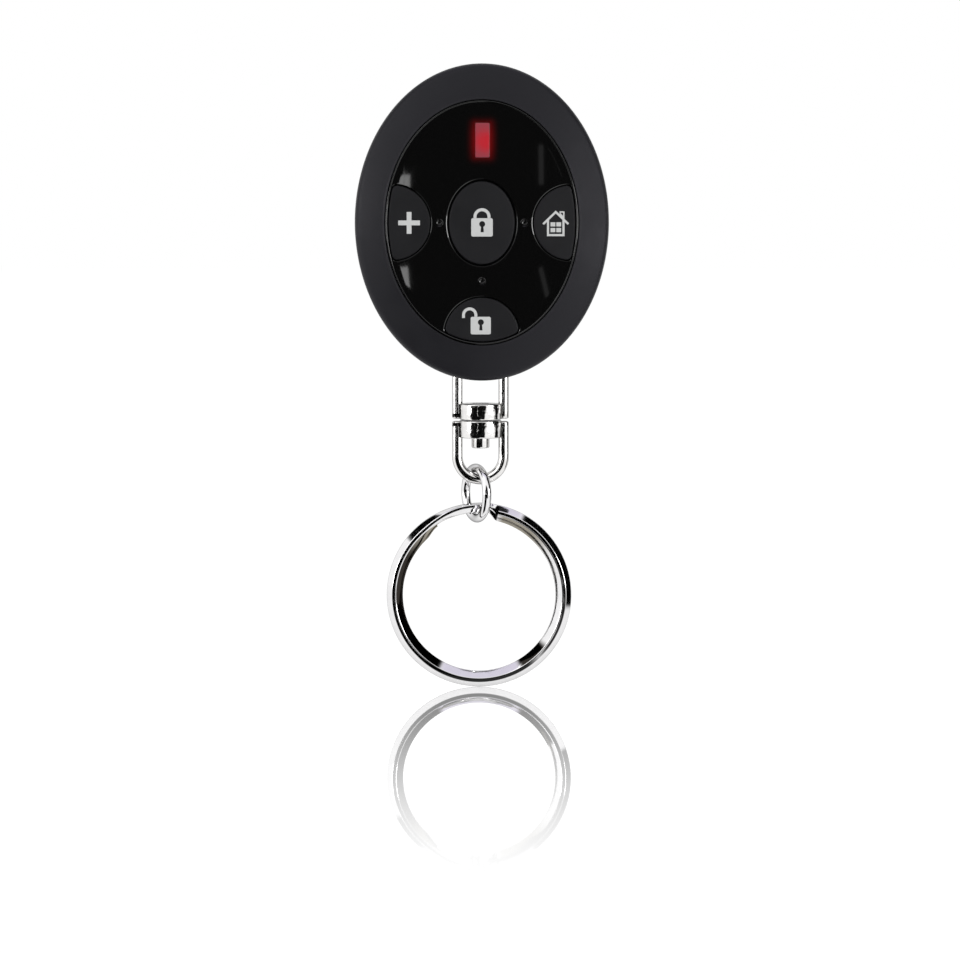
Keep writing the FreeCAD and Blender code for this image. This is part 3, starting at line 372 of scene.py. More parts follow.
# How much of the floor is its own white, how strong that is, and what mirrors see on top of it.
OWN_SHARE, OWN_STRENGTH, MIRRORED_EXTRA = 0.62, 1.22, 0.3
CLOTH_GREY = (0.8, 0.8, 0.8)
SHINE, SHINE_START, SHINE_END = 0.76, 0.01, 0.205
SHINE_BACK_EDGE = -0.03
# The dark openings also darken what the chain mirrors of the floor: between two headings in
# degrees, from one distance on, and fully dark at another.
DARK_FLOOR = [(*FRONT_HEADINGS, 0.1, 0.14), (FRONT_HEADINGS[0], -4, 0.016, 0.026), (83, 109, 0.055, 0.08)]

floor_mesh = bpy.data.meshes.new("floor")
shape = bmesh.new()
bmesh.ops.create_grid(shape, x_segments=1, y_segments=1, size=FLOOR_REACH)
shape.to_mesh(floor_mesh)
shape.free()
floor = put_in_scene("floor", floor_mesh)
floor.location = (0, 0, FLOOR_HEIGHT)

floor_paint = bpy.data.materials.new("white_floor")
tree = empty_tree(floor_paint)
x, y, _ = axes(tree, object_place(tree))
forward = times(tree, y, -1)
heading = angle_of(tree, x, forward)
distance = length_of(tree, x, forward)
rays = add_node(tree, "LightPath").outputs
cloth = add_node(tree, "BsdfDiffuse", Color=CLOTH_GREY)
own_strength = calculate(tree, "ADD", OWN_STRENGTH, times(tree, rays["Is Glossy Ray"], MIRRORED_EXTRA))
own_white = add_node(tree, "Emission", Color=WHITE, Strength=own_strength)
body = mix_shaders(tree, OWN_SHARE, cloth, own_white)
polish = add_node(tree, "BsdfGlossy", Color=WHITE, Roughness=0.02)
in_front = ramp(tree, forward, SHINE_BACK_EDGE, 0.0)
shine_share = times(tree, in_front, ramp(tree, forward, SHINE_START, SHINE_END, SHINE, 0.0))
shiny = mix_shaders(tree, times(tree, shine_share, rays["Is Camera Ray"]), body, polish)
open_sides = 0.0
for low, high, first, full in DARK_FLOOR:
    sector = times(tree, between(tree, heading, low, high, BAND_EDGE), ramp(tree, distance, first, full))
    open_sides = larger(tree, open_sides, sector)
dark = add_node(tree, "BsdfDiffuse", Color=BLACK)
send_out(tree, mix_shaders(tree, times(tree, rays["Is Glossy Ray"], open_sides), shiny, dark))
floor_mesh.materials.append(floor_paint)

# %% [markdown]
# ## Shared surface effects
#
# Three effects come back in several finishes, so each is a group of nodes built once: the fine grain
# that moulded plastic takes from its mould, the hair-thin scratches of things that are handled, and
# the slight waviness of plated metal. A group gives out only masks and heights. The shaders stay in
# the materials.

# %% Surface effect groups


def new_group(name, inputs, outputs):
    """An empty group with its named inputs and outputs, and its two end nodes."""
    group = bpy.data.node_groups.new(name, "ShaderNodeTree")
    for label, value in inputs.items():
        socket = group.interface.new_socket(label, in_out="INPUT", socket_type="NodeSocketFloat")
        socket.default_value = value
    for label in outputs:
        group.interface.new_socket(label, in_out="OUTPUT", socket_type="NodeSocketFloat")
    return group, group.nodes.new("NodeGroupInput").outputs, group.nodes.new("NodeGroupOutput").inputs


# %% Mould grain
# The soft patches of tone are this many times as wide as the grain.
PATCH_WIDTH = 40

mould_grain, given, result = new_group("mould_grain", {"Grain size": 0.00015}, ["Height", "Patches"])
density = calculate(mould_grain, "DIVIDE", 1, given["Grain size"])
feed(mould_grain, result["Height"], noise(mould_grain, density, 2.0))
coarse_density = calculate(mould_grain, "DIVIDE", density, PATCH_WIDTH)
feed(mould_grain, result["Patches"], noise(mould_grain, coarse_density, 3.0))

# %% Hair-thin scratches
SCRATCH_TURNS = [(0.4, 0.2, 0.3), (1.7, 0.9, 2.1), (2.6, 2.2, 1.1)]
SCRATCH_STRETCH = (1.0, 0.02, 0.02)
# How many lines fit in a worn patch, and the noise levels between which lines and patches come in.
LINES_PER_PATCH = 6
LINE_EDGES, WORN_EDGES = (0.66, 0.72), (0.4, 0.65)

hair_scratches, given, result = new_group("hair_scratches", {"Density": 900.0, "Amount": 0.5}, ["Mask"])
tree = hair_scratches
line_density = times(tree, given["Density"], LINES_PER_PATCH)
mask = 0.0
for turn in SCRATCH_TURNS:
    turned_place = add_node(tree, "Mapping", Vector=object_place(tree), Rotation=turn, Scale=SCRATCH_STRETCH)
    lines = noise(tree, line_density, 1.0, turned_place.outputs[0])
    mask = larger(tree, mask, ramp(tree, lines, *LINE_EDGES))
mask = times(tree, mask, ramp(tree, noise(tree, given["Density"], 2.0), *WORN_EDGES))
feed(tree, result["Mask"], times(tree, mask, given["Amount"]))

# %% Plating waves
SPOTS_PER_WAVE = 3

plating_waves, given, result = new_group("plating_waves", {"Wave size": 0.003}, ["Height", "Patches"])
density = calculate(plating_waves, "DIVIDE", 1, given["Wave size"])
feed(plating_waves, result["Height"], noise(plating_waves, density, 1.5))
spot_density = times(plating_waves, density, SPOTS_PER_WAVE)
feed(plating_waves, result["Patches"], noise(plating_waves, spot_density, 4.0))
groups = [group.name for group in bpy.data.node_groups if group.bl_idname == "ShaderNodeTree"]
print("groups:", ", ".join(groups))

# %% [markdown]
# ## Finishes
#
# The covers and buttons are the same kind of black plastic, the covers with a satin mould grain and
# the buttons a touch duller. The panel is polished. The wire parts are nickel plated. All of them are
# one Principled shader each, and what tells them apart is roughness, grain and the size of the bumps.

# %% Finish helpers
FINISHES = {}


def new_finish(name, **sockets):
    """A material with one Principled shader whose sockets are set here or fed later."""
    material = bpy.data.materials.new(name)
    tree = empty_tree(material)
    shader = add_node(tree, "BsdfPrincipled", **sockets)
    send_out(tree, shader)
    FINISHES[name] = material
    return tree, shader


def use_group(tree, group, **inputs):
    """The outputs of a group that is placed in the tree with its own values."""
    return add_node(tree, "Group", node_tree=group, **inputs).outputs


def add_bump(tree, shader, height, distance):
    """Fine relief in the shading: distance is the height of the relief in metres."""
    bump = add_node(tree, "Bump", Height=height, Distance=distance, Strength=1.0)
    feed(tree, shader.inputs["Normal"], bump.outputs[0])


# %% Black plastics
PLASTIC_IOR = 1.46
# Nearly all of a noise lies between these levels, so its patches are spread over them.
NOISE_SPREAD = (0.3, 0.7)


def moulded_plastic(name, dark, light, roughness, grain_size, relief, gloss=0.35, shine_tint=WHITE):
    tree, shader = new_finish(name, IOR=PLASTIC_IOR, Specular_IOR_Level=gloss, Specular_Tint=shine_tint)
    grain = use_group(tree, mould_grain, Grain_size=grain_size)
    tone = blend_colours(tree, grain["Patches"], linear(dark), linear(light))
    feed(tree, shader.inputs["Base Color"], tone)
    feed(tree, shader.inputs["Roughness"], ramp(tree, grain["Patches"], *NOISE_SPREAD, *roughness))
    add_bump(tree, shader, grain["Height"], relief)


COOL_SHINE = (0.95, 0.93, 1)
moulded_plastic("cover_plastic", "161619", "1a1a1d", (0.42, 0.52), 0.00016, 0.000012, 0.18, COOL_SHINE)
moulded_plastic("button_plastic", "151517", "19191b", (0.5, 0.62), 0.00012, 0.00001, 0.16)
moulded_plastic("switch_case", "1a1a1a", "242424", (0.4, 0.5), 0.0002, 0.000008)
moulded_plastic("chip_black", "151515", "1d1d1d", (0.45, 0.55), 0.0002, 0.000008)
moulded_plastic("plunger_plastic", "8c2a22", "99342a", (0.35, 0.45), 0.0002, 0.000008)
moulded_plastic("icon_print", "aaabab", "b4b5b4", (0.5, 0.6), 0.0001, 0.000003)

# %% [markdown]
# The panel's black is as deep as the photograph's darkest tone. It is polished, with a few hair-thin
# scratches that only change its roughness. Around the lamp's window the plastic gets a painted glow
# of dull red light, which falls off within about a millimetre and a half. The painted glow is laid
# out from the window's middle, like the rounded oblong it surrounds. The fine bevels of the button
# holes get a painted reflection: their Specular Tint, by the heading of the surface, lets them show
# the white tent only where they turn to the right, and dims them elsewhere.

# %% Polished panel
WINDOW_HALF = (1.14, 2.72)
WINDOW_X, WINDOW_Z = 0.08, 13.14
# How far around the window the painted glow reaches, how steeply it falls, and the same along its height.
GLOW_REACH, GLOW_FALL = (-0.6, 2.6), 3.6
GLOW_HEIGHT, END_GLOW = (0.6, 4.4), 0.16
BEAD = (15.13, 19.18)
# How steep the holes' bevels are and at which clock angles their reflection stays bright, each with the
# softness of its edges, how dim the painted reflection is elsewhere, and at which share of the bead's
# oval the dimming ends.
BEVEL_TILTS, BRIGHT_CLOCKS = (0.33, 0.6, 0.06), (62, 160, 12)
BEVEL_SHADE, BEVEL_LIMIT = 0.14, (0.975, 0.985)
# The roughness of the polish, and of the scratches in it.
POLISH_ROUGHNESS = (0.04, 0.07)


def off_centre(tree, value, middle):
    """How far a coordinate lies from the middle, which is given in millimetres."""
    return calculate(tree, "ABSOLUTE", calculate(tree, "SUBTRACT", value, middle * MM))


def in_mm(pair):
    return [value * MM for value in pair]


tree, shader = new_finish("panel_gloss", IOR=PLASTIC_IOR, Base_Color=linear("080808"),
                          Specular_IOR_Level=0.65, Emission_Strength=0.62)
scratches = use_group(tree, hair_scratches, Density=500.0, Amount=1.0)
feed(tree, shader.inputs["Roughness"], ramp(tree, scratches["Mask"], 0, 1, *POLISH_ROUGHNESS))
x, _, z = axes(tree, object_place(tree))
side_off, height_off = off_centre(tree, x, WINDOW_X), off_centre(tree, z, WINDOW_Z)
past_side = calculate(tree, "SUBTRACT", side_off, WINDOW_HALF[0] * MM)
past_end = calculate(tree, "SUBTRACT", height_off, WINDOW_HALF[1] * MM)
away = length_of(tree, larger(tree, past_side, 0), larger(tree, past_end, 0))
# Painted glow: red emission on the panel plastic around the window, in place of the lamp's light falling on
# it.
glow = calculate(tree, "POWER", ramp(tree, away, *in_mm(GLOW_REACH), 1, 0), GLOW_FALL)
glow = times(tree, glow, ramp(tree, height_off, *in_mm(GLOW_HEIGHT), 1, END_GLOW))
feed(tree, shader.inputs["Emission Color"], blend_colours(tree, glow, BLACK, linear("9a060c")))

# Painted reflection: the bevels' Specular Tint is dimmed wherever they don't turn to the right.
right, _, up = axes(tree, add_node(tree, "TexCoord").outputs["Normal"])
to_right = between(tree, angle_of(tree, right, up), *BRIGHT_CLOCKS)
tilted = between(tree, length_of(tree, right, up), *BEVEL_TILTS)
oval = [calculate(tree, "DIVIDE", value, half * MM) for value, half in zip((x, z), BEAD)]
dim = times(tree, tilted, ramp(tree, length_of(tree, *oval), *BEVEL_LIMIT, 1, 0))
dim = times(tree, dim, calculate(tree, "SUBTRACT", 1, to_right))
feed(tree, shader.inputs["Specular Tint"], blend_colours(tree, dim, WHITE, (BEVEL_SHADE,) * 3))

# %% [markdown]
# The lamp's window is a red light pipe, lit from behind. It is brightest and purest red in the middle
# of its height and turns paler and duller towards its two ends.

# %% Lit window
# The brightest place lies a little right of the middle and below it.
LAMP_X, LAMP_Z = WINDOW_X + 0.5, WINDOW_Z - 0.2
LAMP_RADIUS = 0.4
SPECKLE_DENSITY, SPECKLE = 2500.0, 0.08

tree, shader = new_finish("indicator_lens", Roughness=0.25, IOR=1.5, Base_Color=linear("5a1218"),
                          Emission_Strength=0.72)
x, _, z = axes(tree, object_place(tree))
off_middle = length_of(tree, off_centre(tree, x, LAMP_X), off_centre(tree, z, LAMP_Z))
towards_end = ramp(tree, off_middle, LAMP_RADIUS * MM, WINDOW_HALF[1] * MM)
speckle = ramp(tree, noise(tree, SPECKLE_DENSITY, 2.0), *NOISE_SPREAD, -SPECKLE, SPECKLE)
towards_end = calculate(tree, "ADD", towards_end, speckle)
lit = blend_colours(tree, towards_end, linear("bd1d29"), linear("86404a"))
feed(tree, shader.inputs["Emission Color"], lit)

# %% [markdown]
# Nickel plate is nearly a mirror, a little warmer and darker than chrome. Its waves bend the edges of
# what it mirrors, and the scratches of keys dull it here and there. The drums of the swivel are cast
# and only tumbled, so they get deeper and smaller waves than the drawn wire.

# %% Nickel plate
# Duller patches keep one share of the tint. Edges seen at a slant, from the first facing level to
# the second, keep another, and their grazing shine a third: both are painted shade, in place of the
# dark things that such edges mirror.
DULL_SHARE, EDGE_SHARE = 0.86, 0.42
SLANT = (0.36, 0.85)
SIDE_SHADE = (0.5, 0.5, 0.5)
SPOT_EDGES = (0.35, 0.75)
SCRATCH_AMOUNT, SCRATCH_ROUGHNESS = 0.6, 0.1


def nickel(name, tint, roughness, wave_size, wave_depth, scratch_density, painted_reflection=None):
    """Plate in a tint. Given a function that gives a mask and a colour, it gets a painted dark reflection in
    places.
    """
    tree, shader = new_finish(name, Metallic=1.0, Specular_Tint=SIDE_SHADE)
    waves = use_group(tree, plating_waves, Wave_size=wave_size)
    scratches = use_group(tree, hair_scratches, Density=scratch_density, Amount=SCRATCH_AMOUNT)
    duller, slant_painted_shade = [tuple(channel * share for channel in tint) for share in (DULL_SHARE, EDGE_SHARE)]
    plate = blend_colours(tree, waves["Patches"], tint, duller)
    # Painted shade: the base colour darkens on edges seen at a slant, in place of the dark reflections there.
    turned_away = add_node(tree, "LayerWeight", Blend=0.5).outputs["Facing"]
    shaded = blend_colours(tree, ramp(tree, turned_away, *SLANT), plate, slant_painted_shade)
    # Painted reflection: the mask's places take the given dark colour, in their base colour and their shine.
    if painted_reflection:
        mask, colour = painted_reflection(tree)
        shaded = blend_colours(tree, mask, shaded, colour)
        feed(tree, shader.inputs["Specular Tint"], blend_colours(tree, mask, SIDE_SHADE, colour))
    feed(tree, shader.inputs["Base Color"], shaded)
    spots = ramp(tree, waves["Patches"], *SPOT_EDGES, *roughness)
    worn = times(tree, scratches["Mask"], SCRATCH_ROUGHNESS)
    feed(tree, shader.inputs["Roughness"], calculate(tree, "ADD", spots, worn))
    add_bump(tree, shader, waves["Height"], wave_depth)


RING_X, RING_Z = -0.45, -60.425
RIDGE = (13.52, 14.12)
RIDGE_FRONT = 6.7
# How wide the changes of painted reflection across the ridge are, in mm.
SLOPE_EDGE, RIDGE_EDGE = 0.1, 0.06
# From and to clock angle of the painted dark reflection, and the softness of each edge, all in degrees.
DARK_SLOPE_ARCS = [(-151, -13, 3, 3), (15, 52, 3, 13), (127, 150, 3, 3)]
DARK_FOOT_ARC = (88, 136, 11)
# Lower down the whole ridge gets a painted dark reflection, and on the right only beyond a radius.
LOW_FOOT, RIGHT_FOOT_RADIUS = (126, 146), (13.68, 13.78)
LIGHTER_ARC = (-50, 90, 13, 10)
# Colours of the painted reflections: dark and lighter brown on the inner slope, near black on the ridge's
# foot.
SLOPE_REFLECTIONS = [(0.03, 0.026, 0.023), (0.27, 0.25, 0.21)]
FOOT_REFLECTION = (0.02, 0.02, 0.02)


def painted_coil_reflection(tree):
    """Painted reflections: the inner slope is painted with the dim space inside the ring that it mirrors, and
    the ridge's foot with a dark table edge.
    """
    x, y, z = axes(tree, object_place(tree))
    across = calculate(tree, "SUBTRACT", x, RING_X * MM)
    up = calculate(tree, "SUBTRACT", z, RING_Z * MM)
    radius = calculate(tree, "DIVIDE", length_of(tree, across, up), MM)
    clock = angle_of(tree, across, up)
    arcs = 0.0
    for arc_ends in DARK_SLOPE_ARCS:
        arcs = larger(tree, arcs, between(tree, clock, *arc_ends))
    slope = times(tree, ramp(tree, radius, RIDGE[0] - SLOPE_EDGE, RIDGE[0], 1, 0), arcs)
    right_foot = times(tree, between(tree, clock, *DARK_FOOT_ARC), ramp(tree, radius, *RIGHT_FOOT_RADIUS))
    foot = larger(tree, ramp(tree, calculate(tree, "ABSOLUTE", clock), *LOW_FOOT), right_foot)
    front = ramp(tree, calculate(tree, "DIVIDE", y, -MM), RIDGE_FRONT - SLOPE_EDGE, RIDGE_FRONT)
    ridge = times(tree, between(tree, radius, *RIDGE, RIDGE_EDGE), times(tree, foot, front))
    slope_reflection = blend_colours(tree, between(tree, clock, *LIGHTER_ARC), *SLOPE_REFLECTIONS)
    return larger(tree, slope, ridge), blend_colours(tree, ridge, slope_reflection, FOOT_REFLECTION)


# Where a drum's top faces up, and the dark grey painted there as its reflection.
TOP_FACING = (0.85, 0.97)
TOP_REFLECTION_GREY = (0.1, 0.1, 0.1)


def painted_top_reflection(tree):
    """Painted reflection: the flat top of a drum is painted dark grey, for the dark foot of the fob that it
    mirrors.
    """
    _, _, up = axes(tree, add_node(tree, "TexCoord").outputs["Normal"])
    return ramp(tree, up, *TOP_FACING), TOP_REFLECTION_GREY


RING_TINT = (0.74, 0.735, 0.74)
nickel("coil_nickel", RING_TINT, (0.05, 0.12), 0.004, 0.00003, 700.0, painted_coil_reflection)
nickel("ring_nickel", RING_TINT, (0.05, 0.12), 0.004, 0.00003, 700.0)
nickel("swivel_nickel", (0.73, 0.72, 0.71), (0.07, 0.16), 0.003, 0.00003, 900.0)
nickel("cast_nickel", (0.74, 0.73, 0.72), (0.08, 0.14), 0.0006, 0.00004, 900.0, painted_top_reflection)
nickel("pin_steel", (0.55, 0.55, 0.56), (0.2, 0.3), 0.002, 0.00002, 1200.0)
nickel("screw_steel", (0.52, 0.52, 0.53), (0.22, 0.34), 0.001, 0.00003, 1500.0)
nickel("can_steel", (0.62, 0.62, 0.62), (0.22, 0.32), 0.002, 0.00002, 1200.0)
nickel("contact_steel", (0.68, 0.65, 0.58), (0.2, 0.3), 0.002, 0.00002, 1200.0)
nickel("cell_steel", (0.66, 0.67, 0.68), (0.16, 0.24), 0.004, 0.00002, 900.0)

# %% Circuit board
TRACK_DENSITY = 900.0

tree, shader = new_finish("board_green", Roughness=0.35, IOR=1.5)
tracks = add_node(tree, "TexBrick", Vector=object_place(tree), Scale=TRACK_DENSITY)
feed(tree, shader.inputs["Base Color"],
     blend_colours(tree, tracks.outputs["Fac"], linear("17462a"), linear("0f3520")))


# %% [markdown]
# ## Making closed pieces
#
# Nearly every piece is a row of closed loops of points with a skin between neighbours: around an
# oval, along a wire or about a turning axis. One function makes that skin, and another turns it into
# a finished piece: smooth faces with sharp edges kept, a finish, and the body that it moves with, and
# it hides the CAD piece that it stands for. Two more are for what comes back often: rounded edges,
# and pieces that are turned about an axis along the depth.

# %% Mesh helpers
ROUND_STEPS = 240
# The first and last loop of a turned piece are nearly points.
TIP = 0.05


def loft(loops, wrap=False):
    """A closed skin over loops with equal counts. Its ends are closed, or joined with wrap."""
    shape = bmesh.new()
    rings = [[shape.verts.new(point) for point in loop] for loop in loops]
    pairs = list(zip(rings, rings[1:]))
    if wrap:
        pairs.append((rings[-1], rings[0]))
    else:
        shape.faces.new(rings[0])
        shape.faces.new(rings[-1])
    for near, far in pairs:
        for index in range(len(near)):
            beside = (index + 1) % len(near)
            shape.faces.new((near[index], near[beside], far[beside], far[index]))
    bmesh.ops.recalc_face_normals(shape, faces=shape.faces)
    return shape


def as_object(name, shape):
    mesh = bpy.data.meshes.new(name)
    shape.to_mesh(mesh)
    shape.free()
    return put_in_scene(name, mesh)


def combine(piece, others, operation):
    """Cuts the others out of the piece, or joins them to it, and takes the others away."""
    for other in others:
        step = piece.modifiers.new("step", "BOOLEAN")
        step.object = other
        step.operation = operation
        step.solver = "EXACT"
    graph = bpy.context.evaluated_depsgraph_get()
    mesh = bpy.data.meshes.new_from_object(piece.evaluated_get(graph))
    piece.modifiers.clear()
    old = piece.data
    piece.data = mesh
    mesh.name = piece.name
    bpy.data.meshes.remove(old)
    for other in others:
        bpy.data.objects.remove(other)
    return piece


def dress(piece, finish, body, *nodes, sharp=32):
    """Smooths a piece, gives it its finish, hangs it on the body that it moves with, and hides the CAD pieces
    that it stands for.
    """
    mesh = piece.data
    mesh.polygons.foreach_set("use_smooth", [True] * len(mesh.polygons))
    mesh.set_sharp_from_angle(angle=math.radians(sharp))
    mesh.materials.clear()
    mesh.materials.append(FINISHES[finish])
    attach(piece, body)
    if nodes:
        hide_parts(*nodes)
    print(f"{piece.name}: {len(mesh.polygons)} faces, rides on {body}")


# %% Rounding and turning


def angles(count=ROUND_STEPS):
    return [2 * math.pi * index / count for index in range(count)]


def rounding(radius, steps, quarters=1):
    """A rounded edge, from the side up to the top: how far in each point is, and how far below."""
    turns = [math.pi / 2 * quarters * step / steps for step in range(steps + 1)]
    return [(radius * (1 - math.cos(turn)), radius * (1 - math.sin(turn))) for turn in turns]


def turned_facing(name, x, z, profile, count=64):
    """A piece turned about an axis along the depth, from (radius, depth) pairs."""
    loops = []
    for radius, depth in profile:
        loops.append([at(x + radius * math.cos(a), depth, z + radius * math.sin(a)) for a in angles(count)])
    return as_object(name, loft(loops))


# %% [markdown]
# ## The front cover
#
# The front cover is a ring of matte plastic. Its face is domed and turns down into the side wall with
# a tight radius. Around the opening it ends in a small rounded edge that catches the light. It is
# made from the section of the ring, worked out at each angle of the oval, and skinned all the way
# round.

# %% Front cover section
PARTING_DEPTH = 5.5
SEAT_DEPTH = 8.8
WALL = 1.6
OUTER_ROUND = 1.4
LIP_ROUND = 0.18
SEAM_BEVEL = 0.12
OUTER_STEPS, FACE_STEPS, LIP_STEPS = 8, 14, 4


def oval_point(half_x, half_z, angle):
    return Vector((half_x * math.cos(angle), half_z * math.sin(angle)))


def front_cover_section(angle):
    """Points from the seam over the wall and the dome to the opening, and back inside."""
    outer = oval_point(HALF_WIDTH, HALF_HEIGHT, angle)
    opening = oval_point(*OPENING, angle)
    width = (opening - outer).length

    def flat_at(reach):
        return outer.lerp(opening, reach / width)

    section = [(flat_at(SEAM_BEVEL), PARTING_DEPTH), (outer, PARTING_DEPTH + SEAM_BEVEL)]
    edge_depth = rim_depth(*outer)
    slope = math.atan((rim_depth(*flat_at(OUTER_ROUND)) - edge_depth) / OUTER_ROUND)
    middle = edge_depth + OUTER_ROUND * (math.tan(slope) - 1 / math.cos(slope))
    turn_end = math.pi / 2 + slope
    for step in range(OUTER_STEPS + 1):
        turn = math.pi + (turn_end - math.pi) * step / OUTER_STEPS
        reach = OUTER_ROUND * (1 + math.cos(turn))
        section.append((flat_at(reach), middle + OUTER_ROUND * math.sin(turn)))
    start = OUTER_ROUND * (1 - math.sin(slope))
    for step in range(1, FACE_STEPS + 1):
        place = flat_at(start + (width - LIP_ROUND - start) * step / FACE_STEPS)
        section.append((place, rim_depth(*place)))
    lip_depth = rim_depth(*opening)
    for drop, short_of in rounding(LIP_ROUND, LIP_STEPS)[1:]:
        section.append((flat_at(width - short_of), lip_depth - drop))
    inner = oval_point(HALF_WIDTH - WALL, HALF_HEIGHT - WALL, angle)
    section += [(opening, SEAT_DEPTH), (inner, SEAT_DEPTH), (inner, PARTING_DEPTH)]
    return [at(place.x, depth, place.y) for place, depth in section]


# %% [markdown]
# At its foot the fob is cut open for the swivel's bow: a slot through both covers, with solid plastic
# around it and a steel pin across. The block and the slot are plain prisms with the same outlines in
# both covers, to be joined to and cut from each of them.

# %% Slot and cutters
SLOT_HALF_WIDTH = 5.8
SLOT_DEPTHS = (3.8, 7.2)
SLOT_TOP = -19.9
BLOCK_CORNERS = [(-7.4, -19.1), (7.4, -19.1), (7.4, -22.78), (3.7, -24.16), (-3.7, -24.16), (-7.4, -22.78)]
# Blocks and columns reach a little into the walls that they stand on.
FRONT_BLOCK_TOP, BACK_BLOCK_FOOT = 8.7, 0.75


def prism(name, corners, *depths):
    """A straight bar along the depth, over flat corners given as (x, z)."""
    return as_object(name, loft([[at(x, depth, z) for x, z in corners] for depth in depths]))


def slot_cutter():
    """The slot, open at the foot of the fob."""
    foot, half = -HALF_HEIGHT - 1, SLOT_HALF_WIDTH
    corners = [(-half, foot), (half, foot), (half, SLOT_TOP), (-half, SLOT_TOP)]
    return prism("slot_cutter", corners, *SLOT_DEPTHS)


# %% Front cover
sections = [front_cover_section(angle) for angle in angles()]
front_cover = as_object("front_cover_shell", loft(zip(*sections), wrap=True))
combine(front_cover, [prism("slot_block", BLOCK_CORNERS, PARTING_DEPTH, FRONT_BLOCK_TOP)], "UNION")
combine(front_cover, [slot_cutter()], "DIFFERENCE")
dress(front_cover, "cover_plastic", "fob", "front_cover")

# %% [markdown]
# ## The back cover
#
# The back isn't in the photograph. It is the plain tray such a fob has: a flat back with a wide
# rounding into the side wall, and three sunk screws. It is skinned from the middle of its floor, up
# the inside, over the rim and round to the middle of its back.

# %% Back cover
BACK_ROUND = 2.6
FLOOR_DEPTH = 1.5
# The skin's first and last oval lie this far in, which leaves a small oval to close it with.
MIDDLE_INSET = HALF_WIDTH * 0.97
SCREW_PLACES = [(0, 20.8), (10.9, -14.6), (-10.9, -14.6)]
RECESS_RADIUS, RECESS_DEPTH = 2.2, 2.0
COLUMN_RADIUS = 3.0


def oval_loop(half_x, half_z, depth):
    points = [oval_point(half_x, half_z, angle) for angle in angles()]
    return [at(point.x, depth, point.y) for point in points]


def inset_loop(inset, depth):
    return oval_loop(HALF_WIDTH - inset, HALF_HEIGHT - inset, depth)


back_steps = [(MIDDLE_INSET, FLOOR_DEPTH), (WALL, FLOOR_DEPTH), (WALL, PARTING_DEPTH),
              (SEAM_BEVEL, PARTING_DEPTH), (0, PARTING_DEPTH - SEAM_BEVEL),
              *rounding(BACK_ROUND, 12), (MIDDLE_INSET, 0)]
back_cover = as_object("back_cover_shell", loft([inset_loop(*step) for step in back_steps]))
combine(back_cover, [prism("slot_block", BLOCK_CORNERS, BACK_BLOCK_FOOT, PARTING_DEPTH)], "UNION")
recess = [(RECESS_RADIUS, -1), (RECESS_RADIUS, RECESS_DEPTH)]
recesses = [turned_facing("recess", x, z, recess) for x, z in SCREW_PLACES]
column = [(COLUMN_RADIUS, BACK_BLOCK_FOOT), (COLUMN_RADIUS, PARTING_DEPTH)]
combine(back_cover, [turned_facing("column", x, z, column) for x, z in SCREW_PLACES], "UNION")
combine(back_cover, [slot_cutter(), *recesses], "DIFFERENCE")
dress(back_cover, "cover_plastic", "fob", "rear_cover")

# %% [markdown]
# ## Outlines of the panel's holes and the buttons
#
# The outer buttons are circles that the panel's oval cuts off, with rounded corners where the two
# meet. A neat way to get such an outline is to measure how far a point lies outside the circle and
# outside the oval. The larger of the two numbers is zero on the outline, and softening that choice
# rounds the corners. Searching outwards from the middle, along many directions, finds the outline.

# %% Outline helpers
BUTTON_GAP = 0.18
BUTTON_RADIUS = 5.97
BUTTON_CORNER = 0.7
CAP_OVAL = (BEAD[0] - BUTTON_GAP, BEAD[1] - BUTTON_GAP)
OUTLINE_STEPS = 200
HALVINGS = 40
# Leaves are searched from a point this share of the way out to their circle's centre.
SEARCH_SHARE = 0.9


def outside_oval(point, half):
    near = math.hypot(point.x / half[0], point.y / half[1])
    steep = math.hypot(point.x / half[0] ** 2, point.y / half[1] ** 2)
    return near * (near - 1) / steep


def softer_of(first, second, corner):
    first, second = first + corner, second + corner
    if first > 0 and second > 0:
        return math.hypot(first, second) - corner
    return max(first, second) - corner


def leaf_outline(centre, radius, oval, corner):
    """A circle that an oval cuts off, searched for from a point inside both."""
    centre = Vector(centre)
    inside = centre * SEARCH_SHARE
    outline = []
    for angle in angles(OUTLINE_STEPS):
        direction = Vector((math.cos(angle), math.sin(angle)))
        near, far = 0.0, 3 * radius
        for _ in range(HALVINGS):
            middle = (near + far) / 2
            point = inside + direction * middle
            out = softer_of((point - centre).length - radius, outside_oval(point, oval), corner)
            near, far = (middle, far) if out < 0 else (near, middle)
        outline.append(inside + direction * near)
    return outline


def oval_outline(half_x, half_z):
    return [oval_point(half_x, half_z, angle) for angle in angles(OUTLINE_STEPS)]


def oblong_outline(half_x, half_z, corner, centre, steps=8):
    """A rectangle with rounded corners."""
    outline = []
    for quarter, (side_x, side_z) in enumerate(((1, 1), (-1, 1), (-1, -1), (1, -1))):
        middle = Vector(centre) + Vector((side_x * (half_x - corner), side_z * (half_z - corner)))
        for step in range(steps + 1):
            angle = math.pi / 2 * (quarter + step / steps)
            outline.append(middle + oval_point(corner, corner, angle))
    return outline


def grown(outline, distance):
    """The outline moved outwards, each point along its own normal."""
    moved = []
    for index, point in enumerate(outline):
        along = outline[(index + 1) % len(outline)] - outline[index - 1]
        moved.append(point + Vector((along.y, -along.x)).normalized() * distance)
    return moved


# %% [markdown]
# ## The panel
#
# The polished panel is a shallow dome with a raised bead around its edge, which shows as a thin
# bright line next to the rim. It is skinned in ovals from the middle of its back to the middle of its
# front. The holes are cut with tools whose tops flare, so each hole gets a fine bevel along the
# curved face. Three small dimples between the buttons help the thumb find its place.

